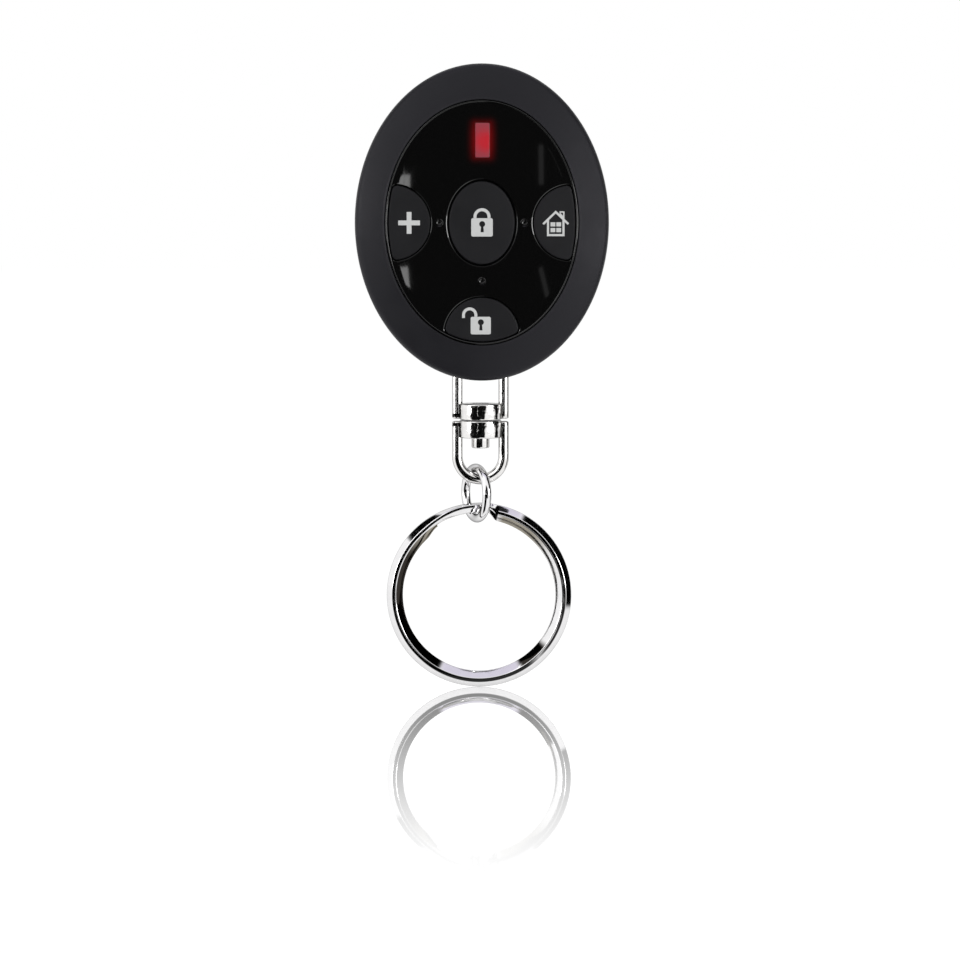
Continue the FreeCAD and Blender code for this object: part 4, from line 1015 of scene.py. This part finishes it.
# %% Panel
PANEL = (15.43, 19.48)
PANEL_BACK = 10.1
BEAD_TOP = 11.649
BEVEL_WIDTH, BEVEL_DEPTH = 0.11, 0.065
# A hole's tool goes on widening above the panel: how many bevels wide it is there, and how high up.
FLARE_WIDTH, FLARE_RISE = 1.4, 1.5
# The share of a hole's bevel that it has along the bead.
BEAD_BEVEL = 0.2
# The last loop of a dome or a flat end is this share of the first.
END_SHARE = 0.02
DOME_RINGS = 26
# Inside the bead the skin starts a hair lower, and the dome itself a hair further in.
PLATE_SINK, PLATE_SHARE = 0.02, 0.998
SIDE_X, LOW_Z = 14.2, -17.9
EDGE_BUTTONS = {"aux": (-SIDE_X, 0), "home": (SIDE_X, 0), "unlock": (0, LOW_Z)}
CENTRE_HALF, CENTRE_GAP = (5.25, 6.6), 0.35
WINDOW_MIDDLE = (WINDOW_X, WINDOW_Z)
WINDOW_CORNER, WINDOW_GAP, WINDOW_BEVEL = 0.2, 0.05, 0.02


def crown_loop(outline, lower=0.0):
    """The outline laid on the panel's dome, or a little below it."""
    return [at(point.x, panel_depth(point.x, point.y) - lower, point.y) for point in outline]


def flat_loop(outline, depth):
    return [at(point.x, depth, point.y) for point in outline]


def shrunk(outline, share, centre=(0, 0)):
    centre = Vector(centre)
    return [centre + (point - centre) * share for point in outline]


def dome_loops(outline, centre, lower, count):
    """Loops over the dome from the outline in to the middle."""
    shares = [1 - (1 - END_SHARE) * step / count for step in range(1, count + 1)]
    return [crown_loop(shrunk(outline, share, centre), lower) for share in shares]


def hole_tool(name, outline_at, width=BEVEL_WIDTH, depth=BEVEL_DEPTH):
    """A cutter with a flared top. The outline is a function of how much larger it is than the hole."""
    return as_object(name, loft([
        flat_loop(outline_at(0), PANEL_BACK - 1),
        crown_loop(outline_at(0), depth),
        crown_loop(outline_at(width)),
        crown_loop(outline_at(width * FLARE_WIDTH), -FLARE_RISE),
    ]))


def edge_hole(centre):
    """The outline of an edge button's hole. It grows little towards the bead, to leave that whole."""
    def outline_at(growth):
        oval = [half + growth * BEAD_BEVEL for half in BEAD]
        return leaf_outline(centre, BUTTON_RADIUS + BUTTON_GAP + growth, oval, BUTTON_CORNER)
    return outline_at


def centre_hole(growth):
    return oval_outline(*(half + CENTRE_GAP + growth for half in CENTRE_HALF))


def window_hole(growth):
    half = [side + WINDOW_GAP + growth for side in WINDOW_HALF]
    return oblong_outline(*half, WINDOW_CORNER, WINDOW_MIDDLE)


plate = [oval_point(*BEAD, angle) for angle in angles()]
bead_half = (PANEL[0] - BEAD[0]) / 2
back_middle = [half * END_SHARE for half in PANEL]
panel_skin = [oval_loop(*back_middle, PANEL_BACK), oval_loop(*PANEL, PANEL_BACK)]
for inset, below in rounding(bead_half, 8, quarters=2):
    panel_skin.append(oval_loop(PANEL[0] - inset, PANEL[1] - inset, BEAD_TOP - below))
panel_skin.append(crown_loop(plate, PLATE_SINK))
panel_skin += dome_loops(shrunk(plate, PLATE_SHARE), (0, 0), 0, DOME_RINGS)
panel = as_object("panel_plate", loft(panel_skin))
tools = [hole_tool(name + "_hole", edge_hole(centre)) for name, centre in EDGE_BUTTONS.items()]
tools.append(hole_tool("centre_hole", centre_hole))
tools.append(hole_tool("window_hole", window_hole, WINDOW_BEVEL, WINDOW_BEVEL))
combine(panel, tools, "DIFFERENCE")

# %% Dimples
DIMPLES = [(-6.825, 0), (6.825, 0), (0, -9.35)]
# The bowl's radius and how far its skin lies above the panel there, from its middle to clear of it.
BOWL = [(0.03, -0.34), (0.25, -0.31), (0.42, -0.22), (0.52, -0.1), (0.58, -0.03), (0.66, 0.03), (0.7, 1.0)]

bowls = []
for x, z in DIMPLES:
    bowl = [(radius, panel_depth(x, z) + rise) for radius, rise in BOWL]
    bowls.append(turned_facing("dimple_tool", x, z, bowl, 48))
combine(panel, bowls, "DIFFERENCE")
dress(panel, "panel_gloss", "fob", "front_panel", sharp=25)

# %% [markdown]
# ## Buttons
#
# A button is a cap with a small rounded edge and a hidden flange behind the panel that keeps it in.
# All four are made by one function from their outlines. Their tops follow the panel's dome and lie a
# hair below it.

# %% Buttons
BUTTON_SINK = 0.08
BUTTON_EDGE = 0.25
FLANGE_DEPTHS = (9.4, 10.0)
FLANGE_WIDTH = 0.7
BACK_SHARE = 0.3


def rounded_top(outline, edge, steps, centre, rings):
    """The rounded edge and the domed top of a cap or a pane, a hair below the panel."""
    loops = []
    for inset, below in rounding(edge, steps):
        loops.append(crown_loop(grown(outline, -inset), BUTTON_SINK + below))
    return loops + dome_loops(grown(outline, -edge), centre, BUTTON_SINK, rings)


def button(name, outline, centre):
    back, front = FLANGE_DEPTHS
    flange = grown(outline, FLANGE_WIDTH)
    loops = [flat_loop(shrunk(outline, BACK_SHARE, centre), back), flat_loop(flange, back),
             flat_loop(flange, front), flat_loop(outline, front)]
    cap = as_object(name + "_cap", loft(loops + rounded_top(outline, BUTTON_EDGE, 5, centre, 12)))
    dress(cap, "button_plastic", name + "_key", name + "_button")


button("lock", oval_outline(*CENTRE_HALF), (0, 0))
for name, centre in EDGE_BUTTONS.items():
    outline = leaf_outline(centre, BUTTON_RADIUS, CAP_OVAL, BUTTON_CORNER)
    button(name, outline, Vector(centre) * SEARCH_SHARE)


# %% Lamp window
WINDOW_EDGE = 0.12
WINDOW_BACK = 8.3
PANE_SHARE = 0.1

pane = oblong_outline(*WINDOW_HALF, WINDOW_CORNER, WINDOW_MIDDLE)
loops = [flat_loop(shrunk(pane, PANE_SHARE, WINDOW_MIDDLE), WINDOW_BACK), flat_loop(pane, WINDOW_BACK)]
window = as_object("lamp_window", loft(loops + rounded_top(pane, WINDOW_EDGE, 4, WINDOW_MIDDLE, 6)))
dress(window, "indicator_lens", "fob", "indicator_window")

# %% [markdown]
# ## Printed signs
#
# Each button carries a plain sign in pale print: a plus, a closed and an open padlock and a house.
# Print has almost no thickness, so each sign is a flat filled curve with holes, laid a hair above the
# button's dome. The shapes are drawn in millimetres on the face of the fob.

# %% Sign helpers
PRINT_RISE = 0.025


def sign(name, button_name, outlines):
    """Flat outlines, where one inside another is a hole, as print on a button."""
    curve = bpy.data.curves.new(name, "CURVE")
    curve.dimensions = "2D"
    curve.fill_mode = "BOTH"
    curve.extrude = PRINT_RISE
    for outline in outlines:
        spline = curve.splines.new("POLY")
        spline.points.add(len(outline) - 1)
        for point, place in zip(spline.points, outline):
            point.co = (place[0], place[1], 0, 1)
        spline.use_cyclic_u = True
    holder = put_in_scene(name, curve)
    graph = bpy.context.evaluated_depsgraph_get()
    mesh = bpy.data.meshes.new_from_object(holder.evaluated_get(graph))
    bpy.data.objects.remove(holder)
    for vertex in mesh.vertices:
        x, z, rise = vertex.co
        vertex.co = at(x, panel_depth(x, z) - BUTTON_SINK + rise, z)
    dress(put_in_scene(name, mesh), "icon_print", button_name + "_key", sharp=20)


def even_steps(outline, length=0.25):
    """More points along the straight sides, so that a flat sign can follow the dome."""
    points = []
    for index, start in enumerate(outline):
        start, end = Vector(start), Vector(outline[(index + 1) % len(outline)])
        count = max(1, round((end - start).length / length))
        points += [start.lerp(end, step / count) for step in range(count)]
    return points


def arc(centre, radius, start, end, steps=16):
    """Points of an arc, its angles in degrees."""
    spread = [math.radians(start + (end - start) * step / steps) for step in range(steps + 1)]
    return [Vector(centre) + oval_point(radius, radius, angle) for angle in spread]


# %% Plus
PLUS_CENTRE = Vector((-11.62, -0.02))
LONG, SHORT = 1.74, 0.385
plus = [(SHORT, SHORT), (SHORT, LONG), (-SHORT, LONG), (-SHORT, SHORT), (-LONG, SHORT), (-LONG, -SHORT),
        (-SHORT, -SHORT), (-SHORT, -LONG), (SHORT, -LONG), (SHORT, -SHORT), (LONG, -SHORT), (LONG, SHORT)]
sign("plus_sign", "aux", [even_steps([PLUS_CENTRE + Vector(corner) for corner in plus])])

# %% Padlocks
CASE_CORNER = 0.28
KEYHOLE_RADIUS, KEYHOLE_FOOT, KEYHOLE_DROP = 0.48, 0.26, 1.3


def padlock_body(centre, half_x, half_z, keyhole):
    """The case with its keyhole: a round top with a tapering slot under it."""
    case = oblong_outline(half_x, half_z, CASE_CORNER, centre)
    foot = [Vector(keyhole) + Vector((side, -KEYHOLE_DROP)) for side in (-KEYHOLE_FOOT, KEYHOLE_FOOT)]
    return [even_steps(case), arc(keyhole, KEYHOLE_RADIUS, -65, 245) + foot]


def shackle(centre, radius, thickness, left_end, right_end):
    """A bent bar: an arch on two legs that end at the given heights."""
    outer = arc(centre, radius, 0, 180)
    inner = arc(centre, radius - thickness, 180, 0)
    left, right = centre[0] - radius, centre[0] + radius
    return even_steps([(right, right_end), *outer, (left, left_end), (left + thickness, left_end),
                       *inner, (right - thickness, right_end)])


closed_lock = padlock_body((0.02, -0.73), 1.72, 1.46, (0.05, -0.21))
closed_lock.append(shackle((0.02, 0.96), 1.36, 0.48, 0.75, 0.75))
sign("closed_lock_sign", "lock", closed_lock)
open_lock = padlock_body((-0.18, -16.42), 1.61, 1.41, (-0.16, -15.89))
open_lock.append(shackle((-1.95, -14.72), 1.22, 0.46, -15.2, -14.99))
sign("open_lock_sign", "unlock", open_lock)

# %% House
HOUSE_X = 11.79
PANE_WIDTH, PANE_HEIGHT = 0.76, 0.66
PANE_CORNERS = [(x, z) for x in (-0.83, 0.1) for z in (-0.59, -1.5)]

walls_and_roof = [(0, 1.95), (0.61, 1.364), (0.61, 1.82), (1.39, 1.82), (1.39, 0.616),
                  (2.13, -0.095), (1.894, -0.34), (1.405, 0.129), (1.405, -2.14),
                  (-1.405, -2.14), (-1.405, 0.129), (-1.894, -0.34), (-2.13, -0.095)]
room = [(0, 1.479), (1.065, 0.457), (1.065, -1.8), (-1.065, -1.8), (-1.065, 0.457)]
flue = [(0.82, 1.62), (1.18, 1.62), (1.18, 1.1), (0.82, 1.42)]
house = [walls_and_roof, room, flue]
for x, z in PANE_CORNERS:
    house.append([(x, z), (x + PANE_WIDTH, z), (x + PANE_WIDTH, z + PANE_HEIGHT), (x, z + PANE_HEIGHT)])
sign("house_sign", "home", [even_steps([(HOUSE_X + x, z) for x, z in outline]) for outline in house])

# %% [markdown]
# ## The swivel
#
# Each half of the swivel is a small cast drum with a U of round wire brazed to its sides. The upper U
# hangs on the pin in the fob's foot, and the lower one carries the jump ring. A rivet joins the drums
# and lets them turn. The wire is a circle carried along the U. Its ends have rounded edges and lie
# against the sides of the turned drum.

# %% Sweeping and turning
WIRE_SIDES = 28
TURNED_STEPS = 96
# How large the rounded edge of a wire's end is, as a share of the wire's radius.
BLUNT_EDGE = 0.4
CHAIN_DEPTH = 5.5
SWIVEL_X = -0.22


def wire_circle(middle, side, out, radius):
    return [middle + (side * math.cos(a) + out * math.sin(a)) * radius for a in angles(WIRE_SIDES)]


def wire_loops(path, radius, side):
    """Circles around a path that stays in one plane. Side is that plane's normal."""
    loops = []
    for index, place in enumerate(path):
        before, after = path[max(index - 1, 0)], path[min(index + 1, len(path) - 1)]
        along = (after - before).normalized()
        loops.append(wire_circle(place, side, along.cross(side), radius))
    return loops


def blunt_end(centre, along, side, radius):
    """Loops of a wire's end with a rounded edge, from its tip back to the full circle."""
    rings = [(TIP * radius, radius)]
    for inset, below in rounding(radius * BLUNT_EDGE, 6)[:-1]:
        rings.append((radius - below, radius - inset))
    return [wire_circle(centre + along * reach, side, along.cross(side), ring) for ring, reach in rings]


def turned_upright(name, profile, z, flip=1):
    """A piece turned about the swivel's upright axis, from (radius, height) pairs in mm."""
    loops = []
    for radius, height in profile:
        circle = [(radius * math.cos(a), radius * math.sin(a)) for a in angles(TURNED_STEPS)]
        loops.append([at(SWIVEL_X + x, CHAIN_DEPTH + depth, z + flip * height) for x, depth in circle])
    return as_object(name, loft(loops))


def rounded_rim(radius, top, edge):
    """Profile points for the rounded outer edge of a piece that ends at the given height."""
    return [(radius - inset, top - below) for inset, below in rounding(edge, 5)]


# %% Bows
WIRE_RADIUS = 0.85
BOW_RADIUS = 3.75
DRUM_RADIUS, DRUM_EDGE = 3.45, 0.2
UPPER_DRUM, LOWER_DRUM = 2.55, 2.8
UPPER_LEGS, LOWER_LEGS = 6.885, 5.85
FOOT_RISE = 0.97
SWIVEL_Z = -31.9
DRUM_GAP = 0.15
LEG_STEPS, BEND_STEPS = 12, 48


def bow(name, face_z, direction, drum_height, leg_length, seat=None):
    """A drum that starts at face_z and goes in the direction, with its U of wire."""
    rim = rounded_rim(DRUM_RADIUS, drum_height, DRUM_EDGE)
    lower_rim = [(radius, drum_height - height) for radius, height in reversed(rim)]
    profile = [(TIP, 0), *lower_rim, *rim, *(seat or [(TIP, drum_height)])]
    drum = turned_upright(name + "_drum", profile, face_z, direction)
    foot_z, bend_z = face_z + direction * FOOT_RISE, face_z + direction * leg_length
    right, up, side = Vector((1, 0, 0)), Vector((0, 0, direction)), Vector((0, 1, 0))
    start = at(SWIVEL_X - BOW_RADIUS, CHAIN_DEPTH, foot_z)
    end = at(SWIVEL_X + BOW_RADIUS, CHAIN_DEPTH, foot_z)
    bend = at(SWIVEL_X, CHAIN_DEPTH, bend_z)
    reach = BOW_RADIUS * MM
    path = [start.lerp(bend - right * reach, step / LEG_STEPS) for step in range(LEG_STEPS)]
    for step in range(BEND_STEPS + 1):
        angle = math.pi * (1 - step / BEND_STEPS)
        path.append(bend + (right * math.cos(angle) + up * math.sin(angle)) * reach)
    path += [(bend + right * reach).lerp(end, step / LEG_STEPS) for step in range(1, LEG_STEPS + 1)]
    radius = WIRE_RADIUS * MM
    first = blunt_end(start, -up, -side, radius)
    last = blunt_end(end, -up, side, radius)
    return as_object(name + "_wire", loft(first + wire_loops(path, radius, side) + last[::-1])), drum


UPPER_FACE = SWIVEL_Z + DRUM_GAP / 2
LOWER_FACE = SWIVEL_Z - DRUM_GAP / 2
CAP_SINK, CAP_HEIGHT, CAP_RADIUS = 0.05, 0.5, 1.7
CAP_PLAY = 0.06
cap_foot = UPPER_DRUM - CAP_SINK - CAP_HEIGHT
seat_radius = CAP_RADIUS + CAP_PLAY
cap_seat = [(seat_radius + CAP_PLAY, UPPER_DRUM), (seat_radius, UPPER_DRUM - CAP_PLAY),
            (seat_radius, cap_foot), (TIP, cap_foot)]
upper_wire, upper_drum = bow("upper_bow", UPPER_FACE, 1, UPPER_DRUM, UPPER_LEGS, cap_seat)
lower_wire, lower_drum = bow("lower_bow", LOWER_FACE, -1, LOWER_DRUM, LOWER_LEGS)
dress(upper_wire, "swivel_nickel", "upper_swivel", "upper_bow")
dress(upper_drum, "cast_nickel", "upper_swivel")
dress(lower_wire, "swivel_nickel", "lower_swivel", "lower_bow")
dress(lower_drum, "cast_nickel", "lower_swivel")

# %% Rivet
CAP_Z = UPPER_FACE + cap_foot
HEAD_PLAY = 0.06
HEAD_Z = LOWER_FACE - LOWER_DRUM - HEAD_PLAY
HEAD_RADIUS, HEAD_HEIGHT, HEAD_EDGE = 1.45, 1.65, 0.25
CAP_EDGE = 0.4
SHANK_RADIUS, SHANK_RISE = 1.0, 0.4
RIVET_TIP = 0.04

cap_edge = rounded_rim(CAP_RADIUS, CAP_HEIGHT, CAP_EDGE)
cap_profile = [(RIVET_TIP, 0), (CAP_RADIUS, 0), *cap_edge, (RIVET_TIP, CAP_HEIGHT)]
cap = turned_upright("rivet_cap", cap_profile, CAP_Z)
head_edge = rounded_rim(HEAD_RADIUS, HEAD_HEIGHT, HEAD_EDGE)
head_profile = [(RIVET_TIP, -SHANK_RISE), (SHANK_RADIUS, -SHANK_RISE), (SHANK_RADIUS, 0),
                (HEAD_RADIUS, 0), *head_edge, (RIVET_TIP, HEAD_HEIGHT)]
head = turned_upright("rivet_head", head_profile, HEAD_Z, -1)
for piece in (cap, head):
    dress(piece, "swivel_nickel", "upper_swivel", "swivel_rivet")


# %% Lanyard pin
PIN_Z = -23.2
PIN_PROFILE = [(0.8, 2.43), (1.1, 2.7), (1.1, 8.3), (0.8, 8.57)]
dress(turned_facing("cross_pin", 0, PIN_Z, PIN_PROFILE), "pin_steel", "fob", "lanyard_pin")

# %% [markdown]
# ## The jump ring
#
# A small ring of round wire that joins the swivel to the key ring. It hangs turned, nearly edge on to
# the camera, and its two ends meet in a fine seam at the back.

# %% Jump ring
JUMP_CENTRE = at(-0.9, CHAIN_DEPTH, -43.825)
JUMP_RADIUS, JUMP_WIRE = 4.075, 0.725
JUMP_TURN = math.radians(65)
JUMP_STEPS = 160
# The seam's width in millimetres, and as an angle.
SEAM_WIDTH = 0.03
SEAM = SEAM_WIDTH / JUMP_RADIUS

level = Vector((math.cos(JUMP_TURN), -math.sin(JUMP_TURN), 0))
upright = Vector((0, 0, 1))
path = []
for step in range(JUMP_STEPS + 1):
    angle = math.pi + SEAM / 2 + (2 * math.pi - SEAM) * step / JUMP_STEPS
    path.append(JUMP_CENTRE + (level * math.cos(angle) + upright * math.sin(angle)) * JUMP_RADIUS * MM)
jump_ring = as_object("jump_ring_wire", loft(wire_loops(path, JUMP_WIRE * MM, upright.cross(level))))
dress(jump_ring, "ring_nickel", "link", "jump_ring")

# %% [markdown]
# ## The split key ring
#
# The key ring is one flat wire wound twice. Each coil has a bevelled section with a narrow ridge, and
# at the top the wire grows slimmer and rounder while it crosses from the front coil to the back one.
# Near the crossing the front coil begins with a plain cut end. The ring is one skin along the whole
# wire: its eight-cornered section changes with the clock angle, and each corner is rounded a little
# so that it catches a fine line of light.

# %% Split ring section
RING_RADIUS = 15.0
COIL_WIDTH, COIL_HEIGHT, COIL_SIDE, COIL_GAP = 2.6, 1.3, 0.25, 0.06
JOG_START, JOG_END, JOG_WIRE = -26.0, 13.0, 1.6
# Each side of the wire grows slimmer between two clock angles, the inner side first, and all of
# them widen again over the last degrees of the crossing. Every corner follows one side in its
# radius and one in its depth, where the back corners wait, to stay clear of the back coil.
SLIMMING = {"inner": (-52, -26), "ridge": (-42, -8), "outer": (-26, -14)}
CORNER_SIDES = [("inner", "outer"), ("inner", "outer"), ("outer", "outer"), ("outer", "outer"),
                ("outer", "outer"), ("ridge", "ridge"), ("ridge", "ridge"), ("inner", "inner")]
WIDENING = 7.0
# The back coil's cut end is ground off on its inner side, over some degrees and by some millimetres.
BACK_END = 360 * 2 + JOG_START - 5.0
END_TAPER, END_CUT = 12.0, 0.6
# A corner's rounding takes up no more than this share of a side.
CORNER_LIMIT = 0.42


def coil_corners(front):
    """Corners of a coil's section as (radius, depth from the plane between the coils)."""
    inner, outer = RING_RADIUS - COIL_WIDTH, RING_RADIUS
    low, high = RIDGE
    flat, side, ridge = COIL_GAP / 2, COIL_GAP / 2 + COIL_SIDE, COIL_GAP / 2 + COIL_HEIGHT
    if front:
        return [(inner, flat), (low, flat), (high, flat), (outer, flat),
                (outer, side), (high, ridge), (low, ridge), (inner, side)]
    return [(inner, -side), (low, -ridge), (high, -ridge), (outer, -side),
            (outer, -flat), (high, -flat), (low, -flat), (inner, -flat)]


def jog_corners(depth):
    """The slim section of the crossing wire: its narrow ridge lies near the outside."""
    inner, outer = RING_RADIUS - JOG_WIRE, RING_RADIUS
    corners = [(inner, -0.3), (inner + 0.45, -0.75), (outer - 0.4, -0.75), (outer, -0.45),
               (outer, 0.1), (outer - 0.22, 0.8), (outer - 0.8, 0.8), (inner + 0.05, 0.3)]
    return [(radius, depth + deep) for radius, deep in corners]


def rounded_corners(corners, radius, steps=3):
    """Each corner replaced by a short curve that starts and ends on its two sides."""
    points = []
    for index, corner in enumerate(corners):
        ends = []
        for neighbour in (corners[index - 1], corners[(index + 1) % len(corners)]):
            side = neighbour - corner
            ends.append(corner + side.normalized() * min(radius, side.length * CORNER_LIMIT))
        for step in range(steps + 1):
            share = step / steps
            points.append(ends[0].lerp(corner, share).lerp(corner.lerp(ends[1], share), share))
    return points


def smooth(share):
    share = min(max(share, 0.0), 1.0)
    return share * share * (3 - 2 * share)


def slimness(clock, side="inner"):
    """How slim one side of the wire is, from 0 on the coils to 1 in the crossing."""
    start, end = SLIMMING[side]
    widening = smooth((360 + JOG_END - clock) / WIDENING)
    return min(smooth((clock - 360 - start) / (end - start)), widening)


def ring_section(clock):
    """The section's corners at an angle along the wire, counted from the front coil's cut end."""
    crossed = smooth((clock - 360 - JOG_START) / (JOG_END - JOG_START))
    slim = jog_corners((COIL_HEIGHT + COIL_GAP) / 2 * (1 - 2 * crossed))
    wide = coil_corners(crossed < 0.5)
    inside = RING_RADIUS - COIL_WIDTH + END_CUT * smooth((clock - BACK_END + END_TAPER) / END_TAPER)
    corners = []
    for (wide_radius, wide_depth), (slim_radius, slim_depth), (across, deep) in zip(wide, slim, CORNER_SIDES):
        radius = wide_radius + (slim_radius - wide_radius) * slimness(clock, across)
        depth = wide_depth + (slim_depth - wide_depth) * slimness(clock, deep)
        corners.append(Vector((max(radius, inside), depth)))
    return corners


# %% Split ring
RING_STEPS = 520
CORNER_ROUND, SLIM_ROUND = 0.11, 0.04
END_SHRINK = 0.08


def ring_loop(clock, shrink=0.0):
    angle = math.radians(clock)
    corners = ring_section(clock)
    middle = sum(corners, Vector((0, 0))) / len(corners)
    loop = []
    for point in rounded_corners(corners, CORNER_ROUND + SLIM_ROUND * slimness(clock)):
        radius, depth = point.lerp(middle, shrink)
        x, z = RING_X + radius * math.sin(angle), RING_Z + radius * math.cos(angle)
        loop.append(at(x, CHAIN_DEPTH + depth, z))
    return loop


clocks = [JOG_END + (BACK_END - JOG_END) * step / RING_STEPS for step in range(RING_STEPS + 1)]
loops = [ring_loop(clock) for clock in clocks]
loops = [ring_loop(JOG_END, END_SHRINK), *loops, ring_loop(BACK_END, END_SHRINK)]
dress(as_object("key_ring_coils", loft(loops)), "coil_nickel", "key_holder", "split_ring", sharp=40)

# %% [markdown]
# ## Screws
#
# Three small cross-head screws hold the back cover. Only their heads show, down in their recesses.
# Each head is turned with a rounded edge, and the cross is cut with two thin tapered blades.

# %% Screw heads
SCREW_RADIUS, SCREW_ROUND = 2.0, 0.7
SCREW_INSIDE, SCREW_OUTSIDE = 2.0, 0.6
# The blades' depth and how wide they are there, from outside the head to the bottom of the cross.
BLADE_STEPS = [(SCREW_OUTSIDE - 0.5, 1.1), (SCREW_OUTSIDE, 1.0), (SCREW_OUTSIDE + 0.7, 0.7)]
BLADES = [(1.1, 0.3), (0.3, 1.1)]


def screw_head(x, z):
    edge = [(SCREW_RADIUS - inset, SCREW_OUTSIDE + below) for inset, below in rounding(SCREW_ROUND, 8)]
    profile = [(TIP, SCREW_INSIDE), (SCREW_RADIUS, SCREW_INSIDE), *edge, (TIP, SCREW_OUTSIDE)]
    head = turned_facing("screw_head", x, z, profile)
    blades = []
    for half_x, half_z in BLADES:
        loops = []
        for depth, share in BLADE_STEPS:
            sides = [(-half_x, -half_z), (half_x, -half_z), (half_x, half_z), (-half_x, half_z)]
            loops.append([at(x + a * share, depth, z + b * share) for a, b in sides])
        blades.append(as_object("blade", loft(loops)))
    return combine(head, blades, "DIFFERENCE")


heads = [screw_head(x, z) for x, z in SCREW_PLACES]
screws = combine(heads[0], heads[1:], "UNION")
screws.name = "screw_heads"
dress(screws, "screw_steel", "fob", "case_screws")

# %% [markdown]
# ## Inside pieces
#
# The circuit board, switches, cell and contacts are sealed inside and keep their CAD shapes. Each
# takes the finish of its own slot.

# %% Finishes for the inside pieces
record_slots = {part["node"]: part["material_slot"] for part in frame["record"]["subparts"]}
for name, node in frame["nodes"].items():
    if not node.hide_render:
        node.data.materials.clear()
        node.data.materials.append(FINISHES[record_slots[name]])
        print(name, "keeps its CAD shape, finish", record_slots[name])
